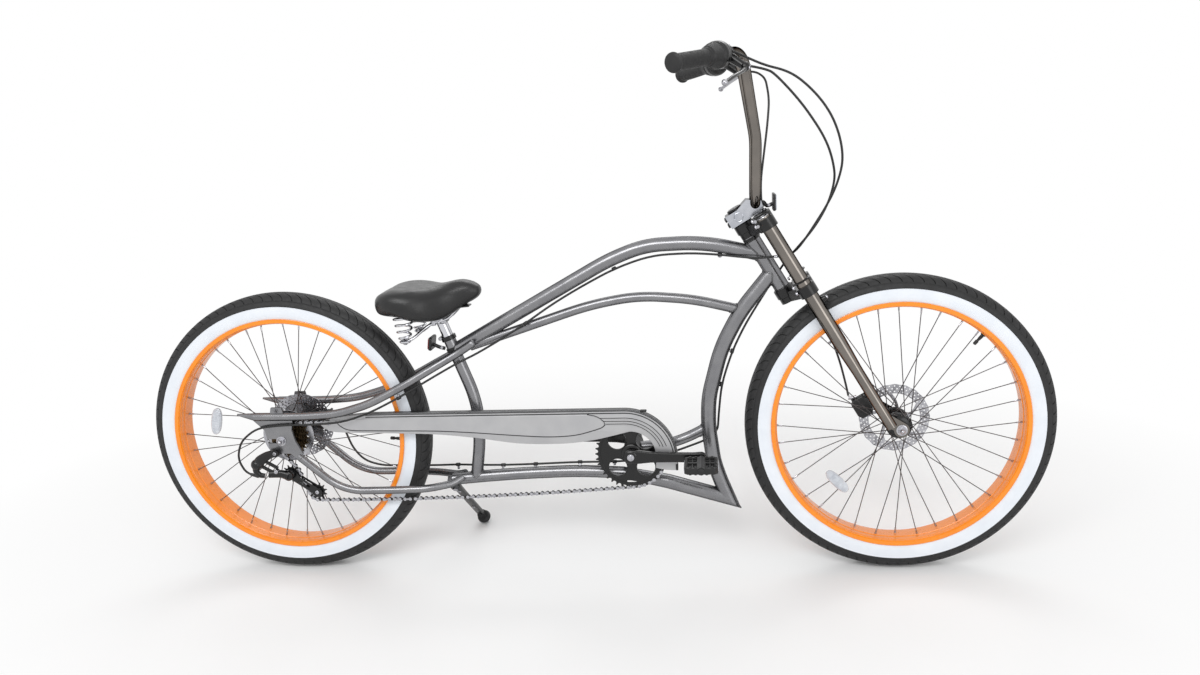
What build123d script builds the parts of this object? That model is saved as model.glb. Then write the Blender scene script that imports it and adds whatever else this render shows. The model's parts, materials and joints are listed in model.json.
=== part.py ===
from build123d import *
from math import acos, atan2, cos, degrees, hypot, pi, radians, sin, tan
import os

# Chopper cruiser bicycle, leaning on its side stand.
# It is modelled upright (X forward, Y to its left, Z up, with the rear axle above the origin) and
# leaned onto the stand at the end, with the origin on the floor under the middle of its box.

# ---- wheels ----
WHEELBASE = 1429.0
TYRE_H = 58.5
TYRE_HALF = 36.0
TREAD_HALF = 13.0
TYRE_SHAPE = ((0.80, 0.84), (1.0, 0.36))
BEAD_TAPER = 1.9
RIM_R = 285.0
TYRE_R = RIM_R + TYRE_H
RIM_DEPTH = 11.3
RIM_HALF = 34.4
RIM_BASE = 3.2
RIM_LIP = 3.0
SEAT_GAP = 0.3
SPOKES = 36
SPOKE_R = 1.2
SPOKE_CROSS = 6
SPOKE_SPREAD = 3.2
SPOKE_RIM_Y = 7.0
ROTOR_R = 80.0
ROTOR_T = 1.9
ROTOR_IN = 58.0
ROTOR_HUB_R = 24.0
ROTOR_ARMS = 5
ROTOR_SWEEP = 0.5
ROTOR_ARM_W = 6.0
AXLE_R = 5.0

# ---- rear hub and drive ----
REAR_HALF = 67.5
REAR_FLANGE_Y = 27.0
FLANGE_R = 29.0
FLANGE_T = 2.6
HUB_END_R = 13.0
ROTOR_SEAT_R = 19.0
END_GAP = 3.0
HUB_R = 22.0
REAR_ROTOR_Y = 53.0
COGS = 7
CHAIN_COG = 3
COG_STEP = 4.6
COG_T = 1.8
SMALL_COG_R = 28.0
COG_GROW = 4.1
DRIVE_Y = -48.0
LINK = 12.7
RING_TEETH = 40
RING_T = 3.0
CHAIN_HALF_H = 4.2
PLATE_T = 1.0
CHAIN_HALF = 3.2
CHAIN_SAG = 8.0
JOCKEY_R = 22.0
CAGE_T = 2.0
CAGE_HALF = 6.5
WINDOWS = 4
WINDOW_AT = 46.0
WINDOW_R = 21.0
BOSS_R = 12.0
CRANK_L = 160.0
CRANK_DROP = 1.2
ARM_IN = 64.0
ARM_T = 12.5
SHELL_R = 21.5
SHELL_HALF = 34.0
SPINDLE_R = 8.5
PEDAL_L = 78.0
PEDAL_W = 74.0
PEDAL_H = 19.0
PEDAL_RAIL = 9.0
PEDAL_BARREL = 18.0
PEDAL_GAP = 8.0
PEDAL_PIN_R = 4.5

# ---- frame tubes ----
TOP_R = 15.9
ARCH_R = 11.1
DOWN_R = 17.45
SEAT_R = 14.3
BOTTOM_R = 14.3
TIP_R = 17.0
LINK_R = 12.0
STAY_R = 9.6
TAIL_TIP_R = 2.2
LOW_STAY_R = 8.8
DROPOUT_T = 6.0
EYELET_R = 3.5

# ---- steering ----
RAKE = 30.2
HEAD_UP = 465.3
FORK_OFFSET = 59.5
HEAD_R = 17.6
HEAD_TOP = 66.0
HEAD_LOW = -60.0
CUP_H = 9.0
CUP_WALL = 1.5
STEERER_R = 14.3
LEG_N = 44.5
LEG_Y = 60.0
LEG_R = 15.9
LEG_TIP_R = 12.4
LEG_TOP = 103.0
LEG_TAPER = -215.0
LEG_SLIM = -300.0
LEG_LOW = -HEAD_UP + 19.3
FRONT_HALF = 50.0
FRONT_PLATE = 6.0
FRONT_FLANGE_Y = 24.0
FRONT_ROTOR_Y = 39.5
CROWN_UP = 87.0
CROWN_DOWN = -83.0
CROWN_H = 24.0
CROWN_WALL = 5.5
STEM_T = 126.0
STEM_N = 41.0
STEM_H = 30.0
BAR_R = 11.1
BAR_BENDS = (48.0, 180.0, 45.0)
GRIP_R = 14.3
GRIP_FLANGE = 0.8
GRIP_L = 128.0
SHIFT_R = 26.0
SHIFT_L = 46.0
CABLE_R = 2.5
PAD = 0.3

# ---- parking ----
LEAN = 8.0
FOOT_X = 409.0
FOOT_Y = 190.0
FOOT_R = 14.0
FOOT_RIM_R = 17.0
STAND_EYE_R = 10.0
STAND_EYE_T = 12.0
STAND_W = 18.0
STAND_T = 11.0
STAND_PIN_R = 4.0
LUG_T = 4.0
CLEVIS_BAR_L = 22.0

# ---- rider's seat ----
POST_R = 12.7

os.makedirs("parts", exist_ok=True)
NODES = {}

rake = radians(RAKE)
UP = Vector(-sin(rake), 0, cos(rake))
AHEAD = Vector(cos(rake), 0, sin(rake))
SIDE = Vector(0, 1, 0)
REAR = Vector(0, 0, 353.8)
FRONT = REAR + Vector(WHEELBASE, 0, 0)
STEER = FRONT + UP * HEAD_UP - AHEAD * FORK_OFFSET
CRANK = REAR + Vector(825.5, 0, -49.8)
SEAT_TOP = REAR + Vector(403.5, 0, 227.2)
HINGE = REAR + Vector(384, 30, -152.8)


# ---- small helpers ----
def at_steer(t, n=0.0, y=0.0):
    """A point t up the steering axis, n ahead of it and y to the left."""
    return STEER + UP * t + AHEAD * n + SIDE * y


def cyl(start, end, radius):
    """A round bar from start to end."""
    start, end = Vector(*start), Vector(*end)
    plane = Plane(origin=start, z_dir=end - start)
    return extrude(plane * Circle(radius), (end - start).length)


def cone(start, end, radius_1, radius_2):
    """A round bar that tapers from start to end."""
    start, end = Vector(*start), Vector(*end)
    length = (end - start).length
    body = Cone(radius_1, radius_2, length, align=(Align.CENTER, Align.CENTER, Align.MIN))
    return Plane(origin=start, z_dir=end - start) * body


def ball(centre, radius):
    """A ball at a point."""
    return Pos(*Vector(*centre)) * Sphere(radius)


def disc(centre, radius, thickness):
    """A round plate across the bike, centred on a point."""
    centre = Vector(*centre)
    half = SIDE * (thickness / 2)
    return cyl(centre - half, centre + half, radius)


def corner_radii(points, share=0.45):
    """For each corner of a route the largest arc that its two runs allow."""
    radii = []
    for before, here, after in zip(points, points[1:], points[2:]):
        a, b = here - before, after - here
        half_turn = radians(a.get_angle(b)) / 2
        radii.append(share * min(a.length, b.length) / tan(half_turn))
    return radii


def route(points, share=0.45):
    """Straight runs through the points, joined by tangent arcs."""
    points = [Vector(*point) for point in points]
    return FilletPolyline(*points, radius=corner_radii(points, share))


def tube(points, radius, share=0.45):
    """A round tube along a route."""
    line = route(points, share)
    return sweep(Plane(origin=line @ 0, z_dir=line % 0) * Circle(radius), path=line)


def flat(points, y):
    """Points (x, z) of the upright plane at one distance from the middle."""
    return [Vector(x, y, z) for x, z in points]


def near_head(*offsets):
    """Points of the upright plane, told from the steering axis at the head tube."""
    return [STEER + Vector(dx, 0, dz) for dx, dz in offsets]


def outline_face(*points):
    """A flat face with straight sides through the points."""
    return make_face(Polyline(*points, close=True))


def plate(sketch, y_low, y_high):
    """A sketch drawn in (x, z) made into a plate between two distances from the middle."""
    plane = Plane(origin=(0, y_low, 0), x_dir=(1, 0, 0), z_dir=(0, -1, 0))
    return extrude(plane * sketch, y_low - y_high)


def mirrored(shape):
    """The same shape on the other side of the bike."""
    return mirror(shape, about=Plane.XZ)


def ring(centre, profile):
    """A (y, r) outline turned round a line across the bike."""
    face = Plane(origin=(0, 0, 0), x_dir=(0, 1, 0), z_dir=(1, 0, 0)) * outline_face(*profile)
    return Pos(*Vector(*centre)) * revolve(face, Axis.Y, 360)


def add(name, shape):
    """Keep a finished piece under its node's name."""
    NODES[name] = shape


# ---- wheels ----
def tyre(centre):
    """A balloon tyre as a solid ring between the rim's flanges."""
    bead = RIM_R - RIM_DEPTH + RIM_BASE + SEAT_GAP
    seat = RIM_HALF - RIM_LIP - SEAT_GAP
    right = [(-TREAD_HALF, TYRE_R)]
    right += [(-TYRE_HALF * across, RIM_R + TYRE_H * up) for across, up in TYRE_SHAPE]
    right += [(BEAD_TAPER - seat, bead)]
    left = [(-y, r) for y, r in reversed(right)]
    return ring(centre, right + left)


def rim(centre):
    """A deep, flat rim whose two flanges hold the tyre."""
    base = RIM_R - RIM_DEPTH
    right = [
        (-RIM_HALF, base + 2.0),
        (-RIM_HALF, RIM_R),
        (-RIM_HALF + RIM_LIP, RIM_R),
        (-RIM_HALF + RIM_LIP, base + RIM_BASE),
    ]
    left = [(-y, r) for y, r in reversed(right)]
    inner = [(RIM_HALF - 4.0, base), (-RIM_HALF + 4.0, base)]
    return ring(centre, right + left + inner)


def spokes(centre, flange_y):
    """Crossed wire spokes from the two hub flanges to the rim."""
    solids = []
    reach = RIM_R - RIM_DEPTH - SEAT_GAP
    root = FLANGE_R - 4.0
    per_side = SPOKES // 2
    step = 2 * pi / per_side
    for side in (-1, 1):
        for index in range(per_side):
            lead = 1 if index % 2 else -1
            hole = step * index + (step / 2 if side > 0 else 0)
            end = hole + lead * step * SPOKE_CROSS / 2
            lead_y = flange_y + lead * SPOKE_SPREAD
            y_hub = side * lead_y
            start = centre + Vector(root * cos(hole), y_hub, root * sin(hole))
            stop = centre + Vector(reach * cos(end), side * SPOKE_RIM_Y, reach * sin(end))
            solids.append(cyl(start, stop, SPOKE_R))
    return solids


def rotor(centre, y):
    """A brake disc: a braking ring on swept arms."""
    middle = centre + SIDE * y
    cutter_t = ROTOR_T + 2
    seat = disc(middle, ROTOR_SEAT_R, cutter_t)
    body = disc(middle, ROTOR_R, ROTOR_T) - disc(middle, ROTOR_IN, cutter_t)
    body += disc(middle, ROTOR_HUB_R, ROTOR_T) - seat
    for index in range(ROTOR_ARMS):
        angle = 2 * pi * index / ROTOR_ARMS
        swept = angle + ROTOR_SWEEP
        inner = middle + Vector(cos(angle), 0, sin(angle)) * (ROTOR_SEAT_R + 1)
        outer = middle + Vector(cos(swept), 0, sin(swept)) * ROTOR_IN
        along = outer - inner
        turn = degrees(atan2(along.Z, along.X))
        bar = Box(along.length + ROTOR_ARM_W, ROTOR_T, ROTOR_ARM_W)
        body += Pos(*((inner + outer) / 2)) * Rot(0, -turn, 0) * bar - seat
    return body


# ---- toothed wheels ----
def toothed(centre, pitch_r, teeth, thickness, hole_r):
    """A sprocket with pointed teeth, centred on a point."""
    root_r, tip_r = pitch_r - 3.2, pitch_r + 3.6
    corners = ((-0.3, root_r), (-0.09, tip_r), (0.09, tip_r), (0.3, root_r))
    step = 2 * pi / teeth
    points = []
    for index in range(teeth):
        for share, radius in corners:
            angle = step * (index + share)
            points.append((radius * cos(angle), radius * sin(angle)))
    sketch = outline_face(*points) - Circle(hole_r)
    half = thickness / 2
    return Pos(centre.X, 0, centre.Z) * plate(sketch, centre.Y - half, centre.Y + half)


# ---- frame ----
def frame_tubes():
    """The bent tubes of the mid-plane, each coped to what it is welded to."""
    head = cyl(at_steer(HEAD_LOW), at_steer(HEAD_TOP), HEAD_R)
    head += cyl(at_steer(HEAD_LOW), at_steer(HEAD_LOW - CUP_H), HEAD_R + CUP_WALL)
    head += cyl(at_steer(HEAD_TOP), at_steer(HEAD_TOP + CUP_H), HEAD_R + CUP_WALL)
    seat = tube([SEAT_TOP] + flat([(450.7, 449), (460, 402.5), (460, 326), (446.5, 240)], 0), SEAT_R)
    top_bends = near_head((-354.1, 22.3), (-271.7, 51.9), (-140.7, 54.6), (-6.5, 21.0))
    top = tube([Vector(418, 0, 547.7)] + top_bends, TOP_R)
    arch_bends = near_head((-403.8, -80.7), (-290.8, -62.2), (-166.7, -74.1), (-71.5, -98.5))
    arch = tube([Vector(455, 0, 556)] + arch_bends, ARCH_R)
    down_high = near_head((14.5, -10.7), (-62.9, -104.7), (-107.7, -188.9))
    down_bends = flat([(1005.1, 422.3), (1002.6, 352.5), (1013.1, 267.3), (1026, 224.7)], 0)
    down = tube(down_high + down_bends + [TIP + Vector(0.394, 0, -1) * TIP_L], DOWN_R, 0.4)
    knee = Vector(800, 0, 240.5)
    wide = Vector(905, 0, 218)
    bottom = tube(flat([(388, 228), (470, 235.2), (560, 241.3), (690, 246)], 0) + [knee], BOTTOM_R, 0.4)
    bottom += ball(knee, BOTTOM_R) + cone(knee, wide, BOTTOM_R, TIP_R)
    bottom += ball(wide, TIP_R) + cyl(wide, TIP + Vector(1, 0, -0.33) * TIP_L, TIP_R)
    above = Plane(origin=TIP + TIP_ACROSS * 200, x_dir=TIP_SPLIT, z_dir=SIDE) * Box(400, 400, 100)
    below = Plane(origin=TIP - TIP_ACROSS * 200, x_dir=TIP_SPLIT, z_dir=SIDE) * Box(400, 400, 100)
    down = (down - below - head).solids().sort_by(SortBy.VOLUME)[-1]
    bottom = bottom - above
    top = top - head
    seat = seat - bottom - top
    arch = arch - top - seat - down
    return head, top, arch, down, bottom, seat


TIP = Vector(1044, 0, 179)
TIP_L = 60.0
TIP_SPLIT = Vector(0.734, 0, -0.679)
TIP_ACROSS = Vector(0.679, 0, 0.734)
head, top, arch, down, bottom, seat = frame_tubes()
shell = disc(CRANK, SHELL_R, 2 * SHELL_HALF)
link = tube([CRANK] + flat([(905, 309), (957, 327), (1004, 352)], 0), LINK_R)
shell = shell + (link - down) - disc(CRANK, SPINDLE_R + 2.0, 2 * SHELL_HALF + 2)


def upper_stay():
    """A twin upper stay, from beside the seat cluster to its tapered tail."""
    front_y = TOP_R + STAY_R + 0.2
    points = [
        Vector(464, -front_y, 567),
        Vector(432, -front_y, 547),
        Vector(366, -42, 512),
        Vector(290, -58, 471),
        Vector(214, -68, 436),
        Vector(140, -70, 416.5),
        Vector(60, -70, 412),
        Vector(-60, -70, 413),
    ]
    body = tube(points, STAY_R, 0.4)
    body += cone(points[-1] + Vector(3, 0, -0.4), points[-1] + Vector(-42, 0, 6.2), STAY_R, TAIL_TIP_R)
    body += ball(points[0], STAY_R)
    return body


def lower_stay():
    """A twin lower stay, from the bottom tube's side up to the dropout."""
    points = [
        Vector(414, -BOTTOM_R - 1, 238),
        Vector(392, -33, 228),
        Vector(338, -58, 225.5),
        Vector(262, -66, 226),
        Vector(136, -68, 225.5),
        Vector(37, -REAR_HALF - 3, 315),
    ]
    return tube(points, LOW_STAY_R, 0.42) - bottom


def dropout(side):
    """A plate with a slot for the axle, under the upper stay, with an eyelet above it."""
    inner = side * REAR_HALF
    outer = side * (REAR_HALF + DROPOUT_T)
    low, high = min(inner, outer), max(inner, outer)
    rear_edge = [(-66, 408), (-38, 380), (-31, 338), (-16, 323)]
    front_edge = [(20, 322), (33, 309), (50, 321), (34, 352), (28, 379), (33, 408)]
    outline = outline_face(*rear_edge, *front_edge)
    outline = fillet(outline.vertices().sort_by(Axis.X)[1:-1], 4)
    half = AXLE_R + PAD
    slot = Pos(SLOT_X, REAR.Z) * RectangleRounded(SLOT_L, 2 * half, half - 0.3)
    tab = outline_face((-22, STAY_Z), (14, STAY_Z), (9, EYE_Z + 8), (-17, EYE_Z + 8))
    body = plate(outline, low, high) - plate(slot, low - 1, high + 1) + plate(tab, low, high)
    return body - cyl((EYE_X, low - 1, EYE_Z), (EYE_X, high + 1, EYE_Z), EYELET_R)


STAY_Z = 412.0
EYE_X = -4.0
EYE_Z = STAY_Z + STAY_R + 5.5
SLOT_X = -11.0
SLOT_L = 46.0
upper_right = upper_stay()
upper_left = mirrored(upper_right)
lower_right = lower_stay()
lower_left = mirrored(lower_right)
dropout_right = dropout(-1) - upper_right - lower_right
brake_lug = outline_face((20, 335), (44, 335), (60, 345), (60, 386), (50, 392), (20, 392))
dropout_left = dropout(1) + plate(brake_lug, REAR_HALF, REAR_HALF + DROPOUT_T)
dropout_left = dropout_left - upper_left - lower_left
upper_right = upper_right - top - seat
upper_left = upper_left - top - seat

add("head_tube", head)
add("top_tube", top)
add("arch_tube", arch)
add("down_tube", down)
add("seat_tube", seat)
add("bottom_bracket", shell)
add("upper_stays", [upper_right, upper_left])
add("lower_stays", [lower_right, lower_left])
add("dropout_right", dropout_right)
add("dropout_left", dropout_left)

# ---- side stand ----
lean = radians(LEAN)
contact = Vector(0, TREAD_HALF, REAR.Z - TYRE_R)


def ground(y):
    """The floor's height under the upright bike at a distance from its middle."""
    return contact.Z + (y - contact.Y) * tan(lean)


foot = Vector(FOOT_X, FOOT_Y, ground(FOOT_Y) + FOOT_R)
stand_dir = (foot - HINGE).normalized()
stand_l = (foot - HINGE).length
hinge_axis = Vector(1, 0, 0).cross(stand_dir).normalized()


def on_stand(down, aside=0.0):
    """A point down the stand's leg from its pin and aside along the pin."""
    return HINGE + stand_dir * down + hinge_axis * aside


def stand_bar(start, end, width, thickness):
    """A flat bar along the leg between two distances from the pin."""
    plane = Plane(origin=on_stand(start), x_dir=hinge_axis, z_dir=stand_dir)
    return extrude(plane * Rectangle(thickness, width), end - start)


def side_stand():
    """A flat leg that turns on a pin and ends in a rubber foot."""
    eye = cyl(on_stand(0, -STAND_EYE_T / 2), on_stand(0, STAND_EYE_T / 2), STAND_EYE_R)
    leg = eye + stand_bar(0, stand_l, STAND_W, STAND_T)
    leg += cone(on_stand(stand_l - 32), on_stand(stand_l - 9), STAND_T / 2 - 0.5, FOOT_RIM_R)
    leg += cyl(on_stand(stand_l - 9), on_stand(stand_l - 3), FOOT_RIM_R)
    leg += Plane(origin=foot, z_dir=stand_dir) * Sphere(FOOT_R)
    bore = cyl(on_stand(0, -STAND_EYE_T), on_stand(0, STAND_EYE_T), STAND_PIN_R + PAD)
    return leg - bore


def stand_clevis():
    """Two lugs astride the stand's eye, their pin and the bar that joins them to the frame."""
    inner = STAND_EYE_T / 2 + PAD
    outer = inner + LUG_T
    root = STAND_EYE_R + 1.5
    body = cyl(on_stand(0, -outer), on_stand(0, outer), STAND_PIN_R)
    for side in (-1, 1):
        lug = stand_bar(-root - 2, 0, 2 * STAND_EYE_R, LUG_T)
        body += cyl(on_stand(0, side * inner), on_stand(0, side * outer), STAND_EYE_R)
        body += Pos(*(hinge_axis * side * (inner + outer) / 2)) * lug
    return body + stand_bar(-root - CLEVIS_BAR_L, -root, 2 * STAND_EYE_R, 2 * outer)


bottom = bottom + (stand_clevis() - lower_left)
add("bottom_tube", bottom)
add("side_stand", side_stand())

# ---- rear wheel ----
add("rear_tyre", tyre(REAR))
add("rear_rim", rim(REAR))
add("rear_spokes", spokes(REAR, REAR_FLANGE_Y))


def hub(centre, flange_y, right_end, left_end, rotor_y):
    """A hub shell with two flanges and a seat for the brake disc, bored for the axle."""
    body = cyl(centre - SIDE * right_end, centre + SIDE * left_end, HUB_END_R)
    body += disc(centre, HUB_R, 2 * flange_y)
    for side in (-1, 1):
        body += disc(centre + SIDE * side * flange_y, FLANGE_R, FLANGE_T)
    body += cyl(centre + SIDE * flange_y, centre + SIDE * (rotor_y + ROTOR_T), ROTOR_SEAT_R)
    return body - disc(centre, AXLE_R + PAD, 2 * REAR_HALF)


add("rear_hub", hub(REAR, REAR_FLANGE_Y, REAR_FLANGE_Y, REAR_HALF - END_GAP, REAR_ROTOR_Y))
add("rear_rotor", rotor(REAR, REAR_ROTOR_Y))

cassette = cyl(REAR - SIDE * (REAR_HALF - 2 * END_GAP), REAR - SIDE * (REAR_FLANGE_Y + FLANGE_T / 2), 20.0)
for index in range(COGS):
    cog_y = DRIVE_Y + (index - CHAIN_COG) * COG_STEP
    cassette += disc(REAR + SIDE * cog_y, SMALL_COG_R + COG_GROW * index, COG_T)
cassette -= disc(REAR, AXLE_R + PAD, 2 * REAR_HALF)
add("cassette", cassette)

def axle(centre, half, collar_r, end):
    """A threaded axle with its cones and the nuts outside the two plates."""
    body = cyl(centre - SIDE * (half + end), centre + SIDE * (half + end), AXLE_R)
    for side in (-1, 1):
        body += cyl(centre + SIDE * side * (half - PAD), centre + SIDE * side * (half - 2.5), collar_r)
    return body


def nut(seat, outward):
    """A hexagon nut on an axle, outward from its seat."""
    return extrude(Plane(origin=seat, z_dir=outward) * RegularPolygon(NUT_R, 6), NUT_H)


NUT_R = 8.5
NUT_H = 8.0
AXLE_END = 12.0
rear_axle = axle(REAR, REAR_HALF, 9.0, DROPOUT_T + AXLE_END)
for side in (-1, 1):
    rear_axle += nut(REAR + SIDE * side * (REAR_HALF + DROPOUT_T), SIDE * side)
add("rear_axle", rear_axle)

# ---- crank set ----
ring_pitch = RING_TEETH * LINK / (2 * pi)
ring_mid = CRANK + SIDE * DRIVE_Y
chain_ring = toothed(ring_mid, ring_pitch, RING_TEETH, RING_T, BOSS_R)
for index in range(WINDOWS):
    angle = 2 * pi * (index + 0.5) / WINDOWS
    window_mid = ring_mid + Vector(cos(angle), 0, sin(angle)) * WINDOW_AT
    chain_ring -= disc(window_mid, WINDOW_R, RING_T + 2)
chain_ring += disc(ring_mid, 2 * BOSS_R, RING_T + 2) - disc(ring_mid, BOSS_R, RING_T + 4)
add("chainring", chain_ring)

drop = radians(CRANK_DROP)
forward = Vector(cos(drop), 0, -sin(drop))
ARM_SHAPE = ((0, 15), (40, 13), (CRANK_L - 25, 10.5), (CRANK_L, 12))


def crank_arm(side):
    """A tapered crank arm with a boss at each end."""
    direction = forward * (1 if side < 0 else -1)
    root = CRANK + SIDE * side * (ARM_IN + ARM_T / 2)
    end = root + direction * CRANK_L
    below = [(x, -half) for x, half in reversed(ARM_SHAPE)]
    plane = Plane(origin=root - SIDE * ARM_T / 2, x_dir=direction, z_dir=SIDE)
    body = extrude(plane * outline_face(*ARM_SHAPE, *below), ARM_T)
    body += disc(root, 17.0, ARM_T) + disc(end, 12.5, ARM_T)
    return body, end


arm_right, right_end = crank_arm(-1)
arm_left, left_end = crank_arm(1)
spindle = cyl(CRANK + SIDE * -(ARM_IN + 1), CRANK + SIDE * (ARM_IN + 1), SPINDLE_R)
boss = cyl(ring_mid + SIDE * 6, CRANK - SIDE * (ARM_IN + 1), BOSS_R)
arms = arm_right + arm_left + spindle + boss
pin_l = ARM_T / 2 + PEDAL_GAP + PEDAL_L - 14
for side, end in ((-1, right_end), (1, left_end)):
    arms += cyl(end, end + SIDE * side * pin_l, PEDAL_PIN_R)
add("crank_arms", arms)


def pedal(side, end):
    """A platform pedal: a bored barrel between the rails of an open cage."""
    inner = end.Y + side * (ARM_T / 2 + PEDAL_GAP)
    middle = Vector(end.X, inner + side * PEDAL_L / 2, end.Z)
    gap = (PEDAL_W - PEDAL_BARREL) / 2 - PEDAL_RAIL
    bay = (PEDAL_L - 3 * PEDAL_RAIL) / 2
    cage = Box(PEDAL_W, PEDAL_L, PEDAL_H)
    for fore in (-1, 1):
        for across in (-1, 1):
            at_x = fore * (PEDAL_BARREL + gap) / 2
            at_y = across * (PEDAL_RAIL + bay) / 2
            cage -= Pos(at_x, at_y, 0) * Box(gap, bay, PEDAL_H + 2)
    bore = cyl((end.X, inner - side, end.Z), (end.X, end.Y + side * (pin_l + 1.5), end.Z), PEDAL_PIN_R + PAD)
    return Pos(*middle) * cage - bore


add("pedal_right", pedal(-1, right_end))
add("pedal_left", pedal(1, left_end))

# ---- chain ----
cog_pitch = SMALL_COG_R + COG_GROW * CHAIN_COG - 3.0
GUIDE = REAR + Vector(4, 0, -89.8)
TENSION = REAR + Vector(66, 0, -135.8)


def tangent(c1, r1, c2, r2, turn_1, turn_2):
    """The line that leaves one circle and meets another; a turn is 1 for anticlockwise."""
    dx, dz = c2.X - c1.X, c2.Z - c1.Z
    gap = hypot(dx, dz)
    base = atan2(dz, dx)
    swing = acos((turn_1 * r1 - turn_2 * r2) / gap)
    angle = base - swing
    n = Vector(cos(angle), 0, sin(angle))
    return c1 + n * (turn_1 * r1), c2 + n * (turn_2 * r2)


def chain_run(start, end, sag):
    """One free run of the chain, which may hang in a slight bow."""
    if sag == 0:
        return Line(start, end)
    return ThreePointArc(start, (start + end) / 2 - Vector(0, 0, sag), end)


def chain_loop(offset):
    """The chain's line round the ring, the cog and the two guide wheels, offset outward."""
    stops = [
        (CRANK, ring_pitch, 1),
        (REAR, cog_pitch, 1),
        (GUIDE, JOCKEY_R, -1),
        (TENSION, JOCKEY_R, 1),
    ]
    edges = []
    spans = []
    count = len(stops)
    for index in range(count):
        c1, r1, t1 = stops[index]
        c2, r2, t2 = stops[(index + 1) % count]
        spans.append(tangent(c1, r1 + t1 * offset, c2, r2 + t2 * offset, t1, t2))
    for index in range(count):
        start, end = spans[index]
        edges.append(chain_run(start, end, CHAIN_SAG if index == count - 1 else 0))
        centre, radius, turn = stops[(index + 1) % count]
        radius += turn * offset
        following = spans[(index + 1) % count][0]
        a, b = end - centre, following - centre
        angle_a = atan2(a.Z, a.X)
        angle_b = atan2(b.Z, b.X)
        while turn * (angle_b - angle_a) < 0:
            angle_b += turn * 2 * pi
        middle = (angle_a + angle_b) / 2
        way = centre + Vector(cos(middle), 0, sin(middle)) * radius
        edges.append(ThreePointArc(end, way, following))
    return Wire(edges)


def chain():
    """Two rows of side plates, joined by pins along the free runs."""
    outer = chain_loop(CHAIN_HALF_H)
    inner = chain_loop(-CHAIN_HALF_H)
    face = Face(outer, [inner])
    body = None
    for side in (-1, 1):
        y = DRIVE_Y + side * (CHAIN_HALF - PLATE_T / 2) + PLATE_T / 2
        row = extrude(face.moved(Location((0, y, 0))), PLATE_T, dir=(0, -1, 0))
        body = row if body is None else body + row
    upper = chain_run(*tangent(CRANK, ring_pitch, REAR, cog_pitch, 1, 1), 0)
    lower = chain_run(*tangent(TENSION, JOCKEY_R, CRANK, ring_pitch, 1, 1), CHAIN_SAG)
    for run in (upper, lower):
        count = int(run.length / LINK)
        for index in range(4, count - 4, PIN_EVERY):
            share = (index + 0.5) / count
            at = run @ share
            turn = degrees(atan2((run % share).Z, (run % share).X))
            pin = Box(PIN_W, 2 * CHAIN_HALF - PLATE_T, PIN_W)
            body += Pos(at.X, DRIVE_Y, at.Z) * Rot(0, -turn, 0) * pin
    return body


PIN_W = 4.6
PIN_EVERY = 4
add("chain", chain())

# ---- steering ----
steer_tube = cyl(at_steer(CROWN_DOWN - CROWN_H / 2), at_steer(STEM_T + STEM_H / 2 + 2), STEERER_R)
head_bore = cyl(at_steer(HEAD_LOW - CUP_H - 1), at_steer(HEAD_TOP + CUP_H + 1), STEERER_R + PAD)
NODES["head_tube"] = head - head_bore


def crown(t):
    """A triple clamp: a plate with a socket for each leg and one for the steerer."""
    low, high = t - CROWN_H / 2, t + CROWN_H / 2
    body = cyl(at_steer(low), at_steer(high), STEERER_R + CROWN_WALL)
    plane = Plane(origin=at_steer(low), x_dir=AHEAD, z_dir=UP)
    for side in (-1, 1):
        y = side * LEG_Y
        outer_edge = (LEG_N - 14, y + side * 6)
        inner_edge = (LEG_N + 14, y - side * 8)
        web = outline_face((-12, 0), outer_edge, inner_edge, (16, 0))
        body += cyl(at_steer(low, LEG_N, y), at_steer(high, LEG_N, y), LEG_R + CROWN_WALL)
        body += extrude(plane * web, CROWN_H)
    for side in (-1, 1):
        y = side * LEG_Y
        body -= cyl(at_steer(low - 1, LEG_N, y), at_steer(high + 1, LEG_N, y), LEG_R)
    return body


upper_crown = crown(CROWN_UP) - cyl(at_steer(0), at_steer(CROWN_UP + 50), STEERER_R)
lower_crown = crown(CROWN_DOWN) + steer_tube
add("upper_crown", upper_crown)
add("lower_crown", lower_crown)

front_t = (FRONT - STEER).dot(UP)
front_n = (FRONT - STEER).dot(AHEAD)


def fork_leg(side):
    """A straight leg, slimmer below, with a plate that carries the axle."""
    y = side * LEG_Y
    body = cyl(at_steer(LEG_TAPER, LEG_N, y), at_steer(LEG_TOP, LEG_N, y), LEG_R)
    body += cone(at_steer(LEG_TAPER, LEG_N, y), at_steer(LEG_SLIM, LEG_N, y), LEG_R, LEG_TIP_R)
    body += cyl(at_steer(LEG_SLIM, LEG_N, y), at_steer(LEG_LOW, LEG_N, y), LEG_TIP_R)
    inner, outer = side * FRONT_HALF, side * (FRONT_HALF + FRONT_PLATE)
    low, high = min(inner, outer), max(inner, outer)
    tab = disc(Vector(FRONT.X, (low + high) / 2, FRONT.Z), 17.0, FRONT_PLATE)
    axle_n = front_n - LEG_N
    back_edge = [(axle_n, front_t - 17), (-6, LEG_LOW - 1)]
    web = outline_face((-13, LEG_LOW + 45), (0, LEG_LOW + 45), (axle_n + 15, front_t + 8), *back_edge)
    plane = Plane(origin=at_steer(0, LEG_N, low), x_dir=AHEAD, z_dir=Vector(0, -1, 0))
    body += extrude(plane * web, -FRONT_PLATE) + tab
    body -= cyl(Vector(FRONT.X, low - 20, FRONT.Z), Vector(FRONT.X, high + 20, FRONT.Z), AXLE_R + PAD)
    return body


brake_tab = Box(44, 6, 40)
brake_tab = Plane(origin=at_steer(front_t + 62, LEG_N - 26, LEG_Y - 6), x_dir=AHEAD, z_dir=UP) * brake_tab
add("fork_legs", [fork_leg(-1), fork_leg(1) + brake_tab])

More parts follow.
